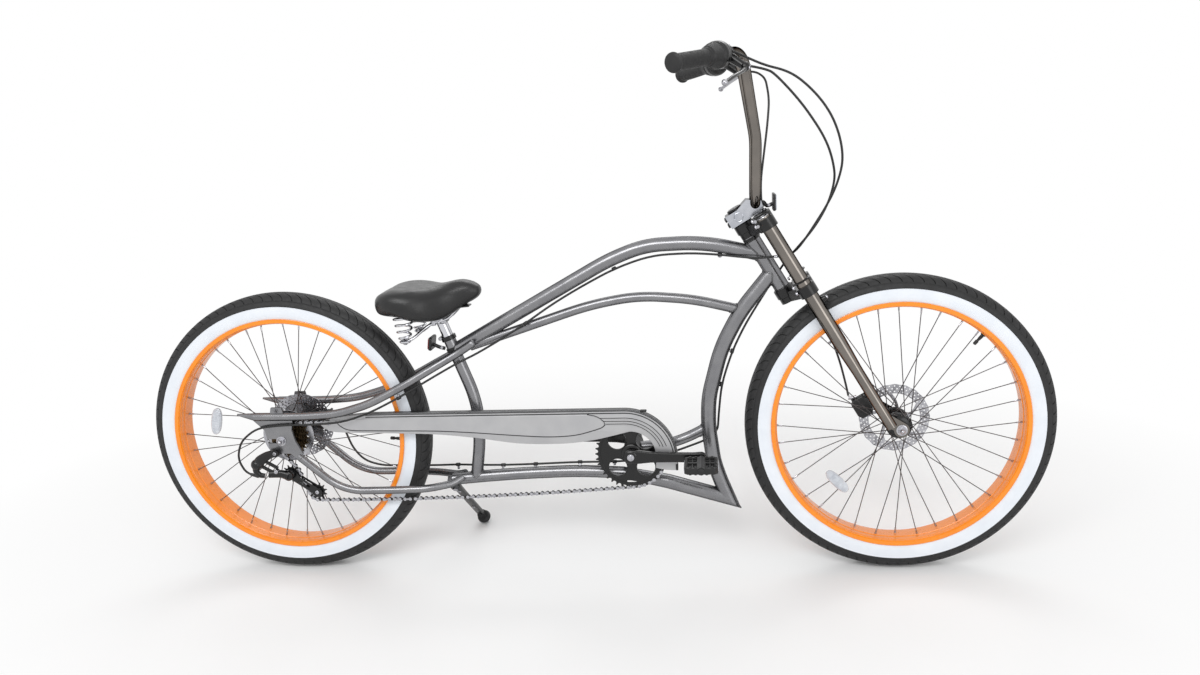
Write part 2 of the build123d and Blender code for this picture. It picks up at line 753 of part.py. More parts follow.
front_axle = axle(FRONT, FRONT_HALF, 8.0, FRONT_PLATE + AXLE_END)
for side in (-1, 1):
    front_axle += nut(FRONT + SIDE * side * (FRONT_HALF + FRONT_PLATE), SIDE * side)
add("front_axle", front_axle)

# ---- front wheel ----
add("front_tyre", tyre(FRONT))
add("front_rim", rim(FRONT))
add("front_spokes", spokes(FRONT, FRONT_FLANGE_Y))
add("front_hub", hub(FRONT, FRONT_FLANGE_Y, FRONT_HALF - END_GAP, FRONT_HALF - END_GAP, FRONT_ROTOR_Y))
add("front_rotor", rotor(FRONT, FRONT_ROTOR_Y))

# ---- handlebar ----
bar_mid = at_steer(STEM_T, STEM_N)
grip_end = Vector(959, -323, 1154.3)
bar_bend = Vector(1092, -106, 1180.5)
bar_side = [
    Vector(bar_mid.X + 1, -36, bar_mid.Z),
    Vector(1120, -57, 1000),
    bar_bend,
    grip_end,
]


def handlebar():
    """A tall, swept-back bar bent from one tube."""
    left = [Vector(p.X, -p.Y, p.Z) for p in reversed(bar_side)]
    points = left + bar_side
    line = FilletPolyline(*points, radius=[*reversed(BAR_BENDS), *BAR_BENDS])
    return sweep(Plane(origin=line @ 0, z_dir=line % 0) * Circle(BAR_R), path=line)


bar = handlebar()
add("handlebar", bar)

grip_dir = (bar_bend - grip_end).normalized()


def on_grip(distance, side=-1):
    """A point on the grip's centre line, that far in from its end."""
    point = grip_end + grip_dir * distance
    return Vector(point.X, point.Y if side < 0 else -point.Y, point.Z)


def grip(side):
    """A rubber grip with an end flange and the twist shifter's collar."""
    body = cyl(on_grip(-4, side), on_grip(GRIP_L, side), GRIP_R)
    body += cyl(on_grip(-4, side), on_grip(4, side), GRIP_R + GRIP_FLANGE)
    body += cone(on_grip(GRIP_L - 20, side), on_grip(GRIP_L + 8, side), GRIP_R, SHIFT_R)
    body += cyl(on_grip(GRIP_L + 8, side), on_grip(GRIP_L + SHIFT_L, side), SHIFT_R)
    return body - cyl(on_grip(0, side), on_grip(GRIP_L + SHIFT_L + 5, side), BAR_R)


add("grips", [grip(-1), grip(1)])


def brake_lever(side):
    """A lever perch clamped to the bar and a blade that ends in a ball."""
    inner, outer = on_grip(GRIP_L + SHIFT_L + 1, side), on_grip(GRIP_L + SHIFT_L + 22, side)
    perch = cyl(inner, outer, BAR_R + 5.0)
    root = Vector(1094, side * 178, 1146)
    clamp_mid = (inner + outer) / 2
    perch += cyl(clamp_mid, root, 8.0)
    perch += ball(root, 10.0)
    tip = Vector(1052, side * 286, 1115)
    perch += cyl(root, tip, 4.5)
    perch += ball(tip, 6.5)
    return perch - cyl(on_grip(0, side), on_grip(GRIP_L + SHIFT_L + 60, side), BAR_R)


add("brake_levers", [brake_lever(-1), brake_lever(1)])


def stem():
    """A polished clamp from the steerer to the bar."""
    plane = Plane(origin=at_steer(0, 0, -24), x_dir=AHEAD, z_dir=Vector(0, -1, 0))
    low, high = STEM_T - STEM_H / 2, STEM_T + STEM_H / 2
    nose = [(STEM_N - 8, high + 9), (STEM_N + 19, STEM_T + 6), (STEM_N + 15, low + 4)]
    outline = outline_face((-25, low), (-25, high), (4, high), *nose, (STEM_N - 6, low))
    body = extrude(plane * outline, -48)
    body -= cyl(at_steer(low - 1), at_steer(high + 3), STEERER_R)
    return body - bar


add("stem", stem())

# ---- front reflector ----
reflector_mid = Vector(1159, 0, 864)
front_reflector = Pos(*reflector_mid) * Box(8, 50, 37)
bracket_root = at_steer(STEM_T - 4, STEM_N + 14)
front_reflector += cyl(reflector_mid - Vector(3, 0, 6), bracket_root, 5.0) - NODES["stem"] - bar
add("front_reflector", front_reflector)


# ---- brakes ----
CALIPER_L = 48.0
CALIPER_H = 40.0
HORN_R = 5.0


def caliper(centre, turn, reach, aside, y_low, y_high):
    """A caliper block astride the disc, turned about the wheel's axis."""
    block = Box(CALIPER_L, y_high - y_low, CALIPER_H)
    middle = centre + SIDE * (y_low + y_high) / 2
    return Pos(*middle) * Rot(0, -turn, 0) * Pos(reach, 0, aside) * block


def disc_slot(centre, y):
    """The room that a caliper leaves for its disc."""
    return disc(centre + SIDE * y, ROTOR_R + 2, ROTOR_T + 2)


front_caliper = caliper(FRONT, 90 + RAKE, 60, 48.5, FRONT_ROTOR_Y - 9, LEG_Y - 9)
front_caliper += cyl(FRONT + Vector(-84, 46, 50.2), FRONT + Vector(-103, 46, 44.2), HORN_R)
rear_caliper = caliper(REAR, 14, 63, 0, REAR_ROTOR_Y - 16, REAR_HALF - 3)
for x, dz in ((46, -1.8), (50, 26.2)):
    seat_point = REAR + Vector(x, REAR_HALF, dz)
    rear_caliper += cyl(seat_point - SIDE * 4, seat_point, HORN_R)
rear_caliper += cyl(REAR + Vector(82, 54, 6.2), REAR + Vector(110, 54, -13.8), HORN_R)
add("front_caliper", front_caliper - disc_slot(FRONT, FRONT_ROTOR_Y))
add("rear_caliper", rear_caliper - disc_slot(REAR, REAR_ROTOR_Y))

# ---- derailleur ----
def derailleur():
    """An arm from the dropout to a sprung cage with two guide wheels."""
    hanger = Vector(-14, -REAR_HALF - DROPOUT_T, 327)
    knuckle = hanger - SIDE * 9
    elbow = Vector(-62, -80, 297)
    body = cyl(hanger, hanger - SIDE * 16, 9.0)
    body += tube([knuckle, Vector(-50, -83, 312), elbow, Vector(-52, -76, 279), Vector(-26, -67, 271)], 8.0)
    body += Pos(*elbow) * Rot(0, 35, 0) * Box(34, 20, 30)
    body += cone(Vector(-52, -74, 281), GUIDE + SIDE * (DRIVE_Y - CAGE_HALF), 11.0, 8.0)
    run = TENSION - GUIDE
    turn = degrees(atan2(run.Z, run.X))
    for y in (DRIVE_Y - CAGE_HALF, DRIVE_Y + CAGE_HALF):
        for middle in (GUIDE, TENSION):
            body += disc(middle + SIDE * y, 14, CAGE_T)
        side_plate = Box(run.length, CAGE_T, 20)
        body += Pos(*((GUIDE + TENSION) / 2 + SIDE * y)) * Rot(0, -turn, 0) * side_plate
    for middle in (GUIDE, TENSION):
        wheel = middle + SIDE * DRIVE_Y
        body += disc(wheel, JOCKEY_R - 5, 2.4) + disc(wheel, 4.0, 2 * CAGE_HALF)
    return body


add("derailleur", derailleur())

# ---- chain guard ----
GUARD_OUT = -58.5
GUARD_T = 2.5
GUARD_FLANGE = 14.0
GUARD_TOP = 413.5
LIP_START = 150.0
TAB_T = 5.0


def guard_front(inset):
    """The curve over the ring's front, that far inside the guard's edge."""
    start = (812, GUARD_TOP - inset)
    return ThreePointArc(start, (895 - 0.7 * inset, 380 - 0.7 * inset), (931.5 - inset, 306))


def guard_outline():
    """The guard's side panel: a long tongue that curves down round the ring's front."""
    top_edge = Polyline((93, 388), (106, 399), (134, 406), (212, GUARD_TOP), (812, GUARD_TOP))
    foot_line = Polyline((931.5, 306), (930, 265), (881.5, 271), (882, 304))
    inner = ThreePointArc((882, 304), (862, 346), (824, 360))
    belly = Spline((824, 360), (785, 350.5), (735, 340), (665, 333.3))
    tail = [(378, 359.2), (289, 363.2), (138, 368.3), (104, 377), (93, 388)]
    low = Polyline((665, 333.3), (569, 335), (462, 350.3), *tail)
    lines = (top_edge, guard_front(0), foot_line, inner, belly, low)
    return make_face([edge for line in lines for edge in line.edges()])


def guard_lip(outline):
    """The lip along the panel's top and front, as seen from the side."""
    sides = Polyline((931.5 - GUARD_T, 306), (931.5 - GUARD_T, 200), (LIP_START, 200))
    top_side = Polyline((LIP_START, 200), (LIP_START, GUARD_TOP - GUARD_T), (812, GUARD_TOP - GUARD_T))
    edges = [edge for line in (guard_front(GUARD_T), sides, top_side) for edge in line.edges()]
    tail = Pos(LIP_START / 2, 300) * Rectangle(LIP_START, 400)
    return outline - make_face(edges) - tail


outline = guard_outline()
guard = plate(outline, GUARD_OUT, GUARD_OUT + GUARD_T)
guard += plate(guard_lip(outline), GUARD_OUT, GUARD_OUT + GUARD_FLANGE)
tab = outline_face((107, 382), (122, 382), (124, 412), (105, 412))
guard += plate(tab, GUARD_OUT - TAB_T, GUARD_OUT)
add("chain_guard", guard - upper_right)

# ---- seat ----
post_dir = Vector(-47.2, 0, 132).normalized()
post_top = SEAT_TOP + post_dir * 48
post = cyl(SEAT_TOP, post_top, POST_R)
post += Pos(*post_top) * Box(40, 44, 20)

# each section is its x, half its width, and its lowest and highest point
SADDLE = (
    (247, 45, 655, 680),
    (256, 72, 650, 690),
    (272, 92, 647, 697),
    (300, 105, 645, 701),
    (335, 106, 635, 701),
    (375, 89, 630, 700),
    (410, 58, 634, 704),
    (445, 38, 655, 711),
    (476, 27, 671, 709),
    (496, 13, 684, 698),
)


def saddle():
    """A wide cruiser saddle with a raised nose."""
    sections = []
    for x, half, z_low, z_high in SADDLE:
        height = z_high - z_low
        plane = Plane(origin=(x, 0, (z_low + z_high) / 2), x_dir=(0, 1, 0), z_dir=(1, 0, 0))
        sections.append(plane * RectangleRounded(2 * half, height, min(height, 2 * half) * 0.42))
    return loft(sections)


SPRING_Y = 60.0
saddle_body = saddle()
add("saddle", saddle_body)
for side in (-1, 1):
    foot_point = Vector(319, side * SPRING_Y, 582)
    spring = cone(foot_point + Vector(0, 0, 72), foot_point, 26.0, 7.0) + ball(foot_point, 7.0)
    post += spring - saddle_body
    post += cyl(foot_point, (376, side * 16, 620), 3.5)
add("seat_post", post - saddle_body)
reflector_rear = Pos(363, 0, 567) * Rot(0, 8, 0) * Box(10, 44, 32)
add("rear_reflector", reflector_rear + cyl((366, 0, 563), (404, 0, 548), 5) - seat)

# ---- cables ----
def cable(points):
    """A cable's sheath along its route; its smallest bend is printed."""
    points = [Vector(*point) for point in points]
    radii = corner_radii(points)
    line = FilletPolyline(*points, radius=radii)
    body = sweep(Plane(origin=line @ 0, z_dir=line % 0) * Circle(CABLE_R), path=line)
    whole = pi * CABLE_R**2 * line.length
    print("cable's smallest radius", round(min(radii)), "volume share", round(body.volume / whole, 4))
    return body


SHIFT_JOIN = (1156, -28, 747)
shift_loop = [
    (1066, -184, 1178.5), (1092, -164, 1167), (1134, -146, 1148), (1174, -138, 1137), (1204, -129, 1120),
    (1240, -118, 1086), (1265, -109, 1052), (1280, -102, 1021), (1290, -96, 988), (1294, -91, 957),
    (1291, -86, 929), (1279, -79, 890), (1262, -73, 856), (1244, -67, 826), (1222, -58, 790),
    (1202, -46, 761), (1182, -34, 748), (1160, -28.6, 747),
]
shift_run = [
    SHIFT_JOIN, (1119, -25, 744), (1080, -14, 747), (1038, -3, 751.5), (975, 0, 757), (885, 0, 755),
    (800, 0, 727.5), (715, 0, 684.5), (650, -5, 648), (592, -15, 610), (530, -19, 573), (470, -24, 541),
    (428, -29, 523), (366, -42, 491), (290, -58, 450), (214, -68, 415), (150, -74, 397), (80, -77, 394),
    (10, -80, 395), (-55, -80, 388), (-98, -80, 355), (-110, -80, 312), (-94, -79, 277), (-64, -78, 268),
]
BRAKE_JOIN = (1182, 14, 728)
brake_loop = [
    (1103, -172, 1147), (1140, -150, 1140), (1157, -143, 1127), (1184, -131, 1099), (1208, -121, 1071),
    (1230, -111, 1041), (1251, -100, 1009), (1266, -89, 979), (1276, -79, 947), (1281, -70, 916),
    (1274, -60, 879), (1260, -50, 842), (1237, -38, 803), (1212, -20, 770), (1184, 11, 732),
]
brake_run = [
    BRAKE_JOIN, (1160, 30, 692), (1127, 21, 643), (1091, 3, 590), (1061, 0, 530), (1035, 0, 452),
    (1027, 2, 380), (1024, 16, 336), (998, 26, 311), (955, 22, 296), (905, 16, 280), (850, 8, 269),
    (780, 4, 266.5), (690, 4, 266.5), (590, 6, 262), (510, 12, 258), (447, 20, 256), (392, 36, 252),
    (330, 57, 243), (262, 65, 241), (190, 63, 242), (148, 58, 258), (122, 56, 292), (110, 54, 332),
]
front_run = [
    (1103, 173, 1149), (1132, 162, 1147), (1151, 146, 1131), (1158, 124, 1085), (1152, 107, 1027),
    (1143, 97, 965), (1134, 90, 900), (1136, 87, 840), (1162, 85, 770), (1211, 85, 683), (1258, 84, 602),
    (1294, 80, 530), (1311, 71, 478), (1322, 60, 430), (1327, 52, 404),
]
add("shift_cable", cable(shift_run))
add("rear_brake_cable", cable(brake_run))
add("steering_loops", [cable(shift_loop), cable(brake_loop)])
add("front_brake_cable", cable(front_run))


# ---- lean onto the stand, on the floor, with the origin under the middle of the box ----
RAISE = contact.Y * sin(lean) - contact.Z * cos(lean)


def leaned(shape):
    """A piece of the upright bike, leaned to its left onto the stand."""
    return Pos(0, 0, RAISE) * Rot(-LEAN, 0, 0) * shape


def solids_of(shape):
    """A node's solids as a list."""
    items = shape if isinstance(shape, list) else [shape]
    return [solid for item in items for solid in item.solids()]


placed = {name: [leaned(solid) for solid in solids_of(shape)] for name, shape in NODES.items()}
OUTERMOST = ("front_tyre", "rear_tyre", "grips", "brake_levers", "side_stand", "pedal_right")
boxes = [solid.bounding_box() for name in OUTERMOST for solid in placed[name]]
low_x, high_x = min(b.min.X for b in boxes), max(b.max.X for b in boxes)
low_y, high_y = min(b.min.Y for b in boxes), max(b.max.Y for b in boxes)
SHIFT = Vector(-(low_x + high_x) / 2, -(low_y + high_y) / 2, 0)


def final_point(point):
    """Where a point of the upright bike ends up."""
    point = Vector(*point)
    y = point.Y * cos(lean) + point.Z * sin(lean)
    z = -point.Y * sin(lean) + point.Z * cos(lean) + RAISE
    return Vector(point.X, y, z) + SHIFT


for name, solids in placed.items():
    moved = [Pos(*SHIFT) * solid for solid in solids]
    export_step(moved[0] if len(moved) == 1 else Compound(children=moved), f"parts/{name}.step")
print("shift", SHIFT, "raise", RAISE)
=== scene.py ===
import json
from math import acos, atan2, cos, hypot, pi, radians, sin, sqrt, tan
import bmesh
import bpy
import numpy as np
from mathutils import Matrix, Vector
from mathutils.geometry import tessellate_polygon

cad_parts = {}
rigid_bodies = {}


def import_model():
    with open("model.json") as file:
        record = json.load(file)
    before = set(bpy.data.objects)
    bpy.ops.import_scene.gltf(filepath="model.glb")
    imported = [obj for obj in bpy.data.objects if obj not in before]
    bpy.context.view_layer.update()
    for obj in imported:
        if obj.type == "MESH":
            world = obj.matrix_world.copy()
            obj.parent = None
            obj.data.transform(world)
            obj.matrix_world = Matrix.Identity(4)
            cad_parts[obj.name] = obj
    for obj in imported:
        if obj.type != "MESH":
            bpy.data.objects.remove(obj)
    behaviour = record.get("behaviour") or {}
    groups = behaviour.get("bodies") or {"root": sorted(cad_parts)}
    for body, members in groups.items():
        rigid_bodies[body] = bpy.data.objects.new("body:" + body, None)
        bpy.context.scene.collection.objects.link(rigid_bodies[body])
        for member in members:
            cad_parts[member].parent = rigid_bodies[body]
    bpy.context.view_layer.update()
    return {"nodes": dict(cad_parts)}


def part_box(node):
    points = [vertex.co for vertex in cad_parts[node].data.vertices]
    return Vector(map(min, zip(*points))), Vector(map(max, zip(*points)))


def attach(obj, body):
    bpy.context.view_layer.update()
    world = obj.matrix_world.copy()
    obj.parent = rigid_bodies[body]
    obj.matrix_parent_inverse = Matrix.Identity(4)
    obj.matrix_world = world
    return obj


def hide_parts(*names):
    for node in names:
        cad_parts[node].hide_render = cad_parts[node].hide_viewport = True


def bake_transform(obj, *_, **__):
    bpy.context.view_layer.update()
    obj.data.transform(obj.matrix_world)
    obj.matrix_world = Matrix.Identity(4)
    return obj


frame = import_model()
norm = np.linalg.norm

# ---- the upright bicycle (millimetres, rear axle over the origin) in the row frame ----
LEAN = radians(8.0)
AXLE_Z = 353.8
ROT = np.array(Matrix.Rotation(-LEAN, 3, "X"))
axle_low, axle_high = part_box("rear_axle")
SHIFT = np.array((axle_low + axle_high) / 2) - ROT @ np.array([0, 0, AXLE_Z / 1000])


def arr(values):
    return np.asarray(values, float)


def V(*p):
    return np.array(p, float)


def row(points):
    """Points of the upright bicycle in millimetres, as metres of the row frame."""
    return (arr(points).reshape(-1, 3) / 1000) @ ROT.T + SHIFT


def unit(v):
    v = arr(v)
    return v / norm(v)


def around(count):
    """Angles set evenly round a circle."""
    return np.linspace(0, 2 * pi, count, endpoint=False)


def linked(name, data):
    """A new object in the scene."""
    obj = bpy.data.objects.new(name, data)
    bpy.context.collection.objects.link(obj)
    return obj


def maker(tree, prefix="ShaderNode"):
    """A function that adds nodes to an emptied tree; an input is given a value or a socket."""
    tree.nodes.clear()

    def make(kind, inputs=(), **settings):
        node = tree.nodes.new(prefix + kind)
        for key, value in settings.items():
            setattr(node, key, value)
        for key, value in dict(inputs).items():
            if isinstance(value, bpy.types.NodeSocket):
                tree.links.new(value, node.inputs[key])
            else:
                node.inputs[key].default_value = value
        return node.outputs

    return make


def shader(owner):
    """A maker of nodes for a material or the world."""
    owner.use_nodes = True
    return maker(owner.node_tree)


# ---- camera, light and floor ----
YAW, PITCH, ROLL = radians(6.66), radians(-12.48), radians(2.86)
CAMERA_AT = (1019.777, -2223.228, 1064.229)
SENSOR, LENS = 36.0, 29.91282
LAMPS_AIM = Vector((0, 0, 0.4))
LIT, SEEN = 0.62, 1.0
FADE_FROM, FADE_TO = 0.45, 1.15
SMOOTH_UNDER = radians(32)

scene = bpy.context.scene
turn = Matrix.Rotation(YAW, 3, "Z") @ Matrix.Rotation(PITCH, 3, "X") @ Matrix.Rotation(ROLL, 3, "Y")
right, ahead, above = turn.col
view = Matrix((right, above, -ahead)).transposed()
camera_data = bpy.data.cameras.new("camera")
camera_data.sensor_width, camera_data.lens = SENSOR, LENS
scene.camera = linked("camera", camera_data)
scene.camera.matrix_world = Matrix.Translation(row(CAMERA_AT)[0]) @ (Matrix(ROT.tolist()) @ view).to_4x4()
scene.view_settings.view_transform = "Standard"

for name, spot, size, power in (
    ("key", (-0.6, -2.4, 3.0), (2.6, 1.2), 52),
    ("fill", (2.4, -2.6, 1.3), (1.4, 1.8), 16),
    ("back", (0.2, 2.8, 2.8), (3.0, 1.2), 34),
):
    data = bpy.data.lights.new(name, "AREA")
    data.shape, data.energy = "RECTANGLE", power
    data.size, data.size_y = size
    light = linked(name, data)
    light.location = spot
    light.rotation_euler = (LAMPS_AIM - Vector(spot)).to_track_quat("-Z", "Y").to_euler()

# The background is brighter for the rays that show it: from the camera, mirrored or through glass.
scene.world = bpy.data.worlds.new("studio")
make = shader(scene.world)
path = make("LightPath")
seen = make("Math", {0: path["Is Camera Ray"], 1: path["Is Glossy Ray"]}, operation="MAXIMUM")
seen = make("Math", {0: seen[0], 1: path["Is Transmission Ray"]}, operation="MAXIMUM")
lit, shown = (make("Background", {"Color": (1, 1, 1, 1), "Strength": power})[0] for power in (LIT, SEEN))
make("OutputWorld", {"Surface": make("MixShader", {0: seen[0], 1: lit, 2: shown})[0]})

# The floor turns from matt to pure white away from the bicycle.
floor_mesh = bpy.data.meshes.new("floor")
floor_mesh.from_pydata([(-9, -9, 0), (9, -9, 0), (9, 9, 0), (-9, 9, 0)], [], [(0, 1, 2, 3)])
linked("floor", floor_mesh)
floor_look = bpy.data.materials.new("floor")
make = shader(floor_look)
spot = make("Mapping", {"Vector": make("TexCoord")["Object"], "Scale": (0.62, 1.0, 1.0)})
away = make("VectorMath", {0: spot[0]}, operation="LENGTH")["Value"]
fade = make("MapRange", {"Value": away, "From Min": FADE_FROM, "From Max": FADE_TO})
matte = make("BsdfDiffuse", {"Color": (0.93, 0.93, 0.93, 1)})
glow = make("Emission", {"Strength": 1.0})
make("OutputMaterial", {"Surface": make("MixShader", {0: fade[0], 1: matte[0], 2: glow[0]})[0]})
floor_mesh.materials.append(floor_look)


# ---- materials ----
def rgb(channels):
    """A colour given in 8-bit sRGB, made linear."""
    shares = [c / 255 for c in channels]
    return [c / 12.92 if c <= 0.04045 else ((c + 0.055) / 1.055) ** 2.4 for c in shares] + [1.0]


def finish(name, colour, second, rough, metal, spots, grain, bump, depth=0.0002,
           stretch=None, cells=None, rim=0.8, **sockets):
    """A procedural finish: two tones in cloudy patches, a base colour darkened towards glancing angles as painted
    shade, uneven gloss and a fine relief.
    """
    look = bpy.data.materials.new(name)
    make = shader(look)
    coords = make("TexCoord")["Object"]

    def noise(scale, detail, source):
        return make("TexNoise", {"Vector": source, "Scale": scale, "Detail": detail})["Fac"]

    def ranged(source, low, high, from_low=0.3, from_high=0.7):
        return make("MapRange", {"Value": source, "From Min": from_low, "From Max": from_high,
                                 "To Min": low, "To Max": high})[0]

    def mixed(share, first, last):
        return make("Mix", {0: share, 6: first, 7: last}, data_type="RGBA")[2]

    tones = mixed(ranged(noise(spots, 3.0, coords), 0.0, 1.0), rgb(colour), rgb(second))
    # Painted shade: the base colour turns darker towards glancing angles, standing in for dark surroundings seen
    # in reflection; rim sets how dark it gets.
    painted_edge_shade = ranged(make("LayerWeight", {"Blend": 0.42})["Facing"], 0.0, 1.0, 0.25, 0.95)
    if cells:
        relief = make("TexVoronoi", {"Vector": coords, "Scale": cells})["Distance"]
    else:
        drawn = make("Mapping", {"Vector": coords, "Scale": stretch})[0] if stretch else coords
        relief = noise(grain, 2.0, drawn)
    surface = {
        "Base Color": mixed(painted_edge_shade, tones, rgb(c * rim for c in second)),
        "Roughness": ranged(noise(spots * 2.3, 4.0, coords), *rough),
        "Metallic": metal,
        "Normal": make("Bump", {"Height": relief, "Strength": bump, "Distance": depth})[0],
    }
    surface.update((socket.replace("_", " "), value) for socket, value in sockets.items())
    make("OutputMaterial", {"Surface": make("BsdfPrincipled", surface)[0]})
    return look


def edge_tint(share):
    """How bright a metal is where it is seen at a glancing angle."""
    return {"Specular_Tint": (share, share, share, 1.0)}


# Every finish gets painted shade at glancing angles. A smaller rim paints darker edges, and the frame paint and
# the chromes get the darkest.
LOOKS = {
    "paint": finish("graphite_paint", (138, 138, 140), (126, 126, 129), (0.24, 0.31), 0.9, 30, 2600, 0.03,
                    0.0001, rim=0.3, Coat_Weight=0.25, Coat_Roughness=0.18, **edge_tint(0.12)),
    "weld": finish("weld_bead", (120, 120, 121), (104, 104, 106), (0.3, 0.42), 0.8, 90, 700, 0.5, 0.0006,
                   **edge_tint(0.12)),
    "guard": finish("silver_panel", (182, 182, 183), (174, 174, 176), (0.36, 0.42), 0.45, 22, 3000, 0.08),
    "guard_dark": finish("graphite_band", (58, 58, 60), (48, 48, 50), (0.3, 0.4), 0.5, 40, 2400, 0.1),
    "chrome": finish("polished_chrome", (214, 214, 218), (202, 203, 208), (0.06, 0.12), 1.0, 18, 1800, 0.03,
                     rim=0.35, **edge_tint(0.5)),
    "smoke": finish("smoked_chrome", (132, 126, 120), (112, 108, 104), (0.07, 0.13), 1.0, 14, 1500, 0.03,
                    rim=0.2, **edge_tint(0.05)),
    "alloy": finish("polished_alloy", (196, 198, 204), (176, 179, 186), (0.14, 0.22), 1.0, 40, 500, 0.03,
                    stretch=(1, 1, 8), **edge_tint(0.4)),
    "steel": finish("bright_steel", (190, 190, 194), (160, 160, 166), (0.2, 0.32), 1.0, 200, 2200, 0.1),
    "wire": finish("dark_wire", (92, 88, 88), (70, 66, 66), (0.25, 0.35), 0.9, 120, 2500, 0.1),
    "bronze": finish("plated_cogs", (104, 88, 66), (60, 52, 42), (0.26, 0.4), 1.0, 150, 1600, 0.08),
    "chain": finish("oiled_chain", (58, 54, 52), (34, 32, 32), (0.26, 0.42), 0.9, 240, 2200, 0.12),
    "black": finish("black_enamel", (13, 13, 14), (8, 8, 9), (0.2, 0.32), 0.0, 60, 1800, 0.08, 0.0003,
                    Specular_IOR_Level=0.4, Coat_Weight=0.1, Coat_Roughness=0.15),
    "plastic": finish("black_plastic", (17, 17, 18), (11, 11, 12), (0.38, 0.5), 0.0, 90, 1500, 0.25, 0.0004),
    "rubber": finish("tyre_rubber", (30, 30, 31), (21, 21, 22), (0.55, 0.68), 0.0, 45, 1100, 0.3, 0.0005),
    "white": finish("white_sidewall", (232, 236, 242), (225, 230, 237), (0.45, 0.58), 0.0, 26, 1400, 0.12,
                    0.0003),
    "orange": finish("orange_rim", (255, 146, 14), (250, 138, 10), (0.24, 0.34), 0.0, 30, 2400, 0.08,
                     Coat_Weight=0.35, Coat_Roughness=0.12),
    "grip": finish("grip_rubber", (24, 24, 25), (17, 17, 18), (0.5, 0.65), 0.0, 70, 1300, 0.5, 0.0005),
    "vinyl": finish("saddle_vinyl", (21, 21, 22), (15, 15, 16), (0.3, 0.4), 0.0, 24, 900, 0.35, 0.0004,
                    cells=620),
    "sheath": finish("cable_sheath", (15, 15, 16), (10, 10, 11), (0.3, 0.42), 0.0, 110, 1500, 0.2, 0.0003),
    "red": finish("red_lens", (150, 12, 16), (110, 6, 10), (0.1, 0.18), 0.0, 80, 1600, 0.2, 0.0004,
                  cells=320, Coat_Weight=0.6),
    "clear": finish("clear_lens", (212, 216, 222), (186, 190, 198), (0.1, 0.2), 0.25, 80, 1600, 0.5, 0.0008,
                    cells=360, Coat_Weight=0.5),
}


# ---- forms: each is (points in upright millimetres, faces) ----
def frame_of(direction):
    """Two directions square to one, and that one."""
    w = unit(direction)
    hint = V(1, 0, 0) if abs(w[2]) > 0.98 else V(0, 0, 1)
    u = unit(hint - w * np.dot(hint, w))
    return u, np.cross(w, u), w


def grid_faces(rows, columns, close_rows):
    """Quads over rows of points, each row a ring."""
    faces = []
    for i in range(rows if close_rows else rows - 1):
        a, b = i * columns, (i + 1) % rows * columns
        faces += [(a + j, a + (j + 1) % columns, b + (j + 1) % columns, b + j) for j in range(columns)]
    return faces


def lathe(start, direction, profile, segments=48, closed=False):
    """A profile of (distance along, radius) turned round an axis."""
    u, v, w = frame_of(direction)
    angles, profile = around(segments), arr(profile)
    spread = np.outer(np.cos(angles), u) + np.outer(np.sin(angles), v)
    points = (arr(start) + profile[:, :1, None] * w + profile[:, 1:, None] * spread).reshape(-1, 3)
    faces = grid_faces(len(profile), segments, closed)
    if not closed and profile[0, 1] > 1e-6:
        faces.append(tuple(range(segments)))
    if not closed and profile[-1, 1] > 1e-6:
        faces.append(tuple(reversed(range(len(points) - segments, len(points)))))
    return points, faces


def bar(start, end, radius, radius_2=None, segments=24, edge=0.5):
    """A round bar with broken edges, perhaps tapered."""
    along = arr(end) - arr(start)
    length = norm(along)
    radius_2 = radius if radius_2 is None else radius_2
    edge = min(edge, radius * 0.5, radius_2 * 0.5, length * 0.3)
    profile = [(0, radius - edge), (edge, radius), (length - edge, radius_2), (length, radius_2 - edge)]
    return lathe(start, along, profile, segments)


def ball(centre, radius, segments=24):
    turns = np.linspace(0, pi, segments // 2 + 1)
    return lathe(centre, (0, 0, 1), [(-radius * cos(t), max(radius * sin(t), 1e-4)) for t in turns], segments)


def torus(centre, direction, radius, wire, segments, sides):
    section = [(wire * sin(t), radius + wire * cos(t)) for t in around(sides)]
    return lathe(centre, direction, section, segments, True)


def smooth_line(points, per_span):
    """A soft curve through the points."""
    p = [arr(q) for q in points]
    p = [2 * p[0] - p[1], *p, 2 * p[-1] - p[-2]]
    result = []
    for a, b, c, d in zip(p, p[1:], p[2:], p[3:]):
        for t in np.arange(per_span) / per_span:
            bend = (2 * a - 5 * b + 4 * c - d) * t**2
            result.append(0.5 * (2 * b + (c - a) * t + bend + (3 * b - a - 3 * c + d) * t**3))
    return np.array(result + [p[-2]])


def pipe(points, radius, segments, closed=False, squash=(1, 1)):
    """A round section carried along a line; the radius may be a list."""
    p = arr(points)
    radii = np.broadcast_to(arr(radius), (len(p),))
    tangents = np.roll(p, -1, 0) - np.roll(p, 1, 0)
    if not closed:
        tangents[0], tangents[-1] = p[1] - p[0], p[-1] - p[-2]
    tangents /= norm(tangents, axis=1)[:, None]
    u = frame_of(tangents[0])[0]
    cosines, sines = np.cos(around(segments)), np.sin(around(segments))
    rings = []
    for point, size, tangent in zip(p, radii, tangents):
        u = unit(u - tangent * np.dot(u, tangent))
        v = np.cross(tangent, u)
        rings.append(point + size * (squash[0] * np.outer(cosines, u) + squash[1] * np.outer(sines, v)))
    faces = grid_faces(len(p), segments, closed)
    if not closed:
        faces.append(tuple(range(segments)))
        faces.append(tuple(reversed(range((len(p) - 1) * segments, len(p) * segments))))
    return np.concatenate(rings), faces


def coil(start, end, radius, radius_2, turns, wire, segments, per_turn):
    """A wire wound round a line, perhaps on a cone."""
    start, end = arr(start), arr(end)
    u, v, w = frame_of(end - start)
    t = np.linspace(0, 1, int(turns * per_turn) + 1)[:, None]
    r, a = radius + (radius_2 - radius) * t, 2 * pi * turns * t
    return pipe(start + t * (end - start) + (r * np.cos(a)) * u + (r * np.sin(a)) * v, wire, segments)


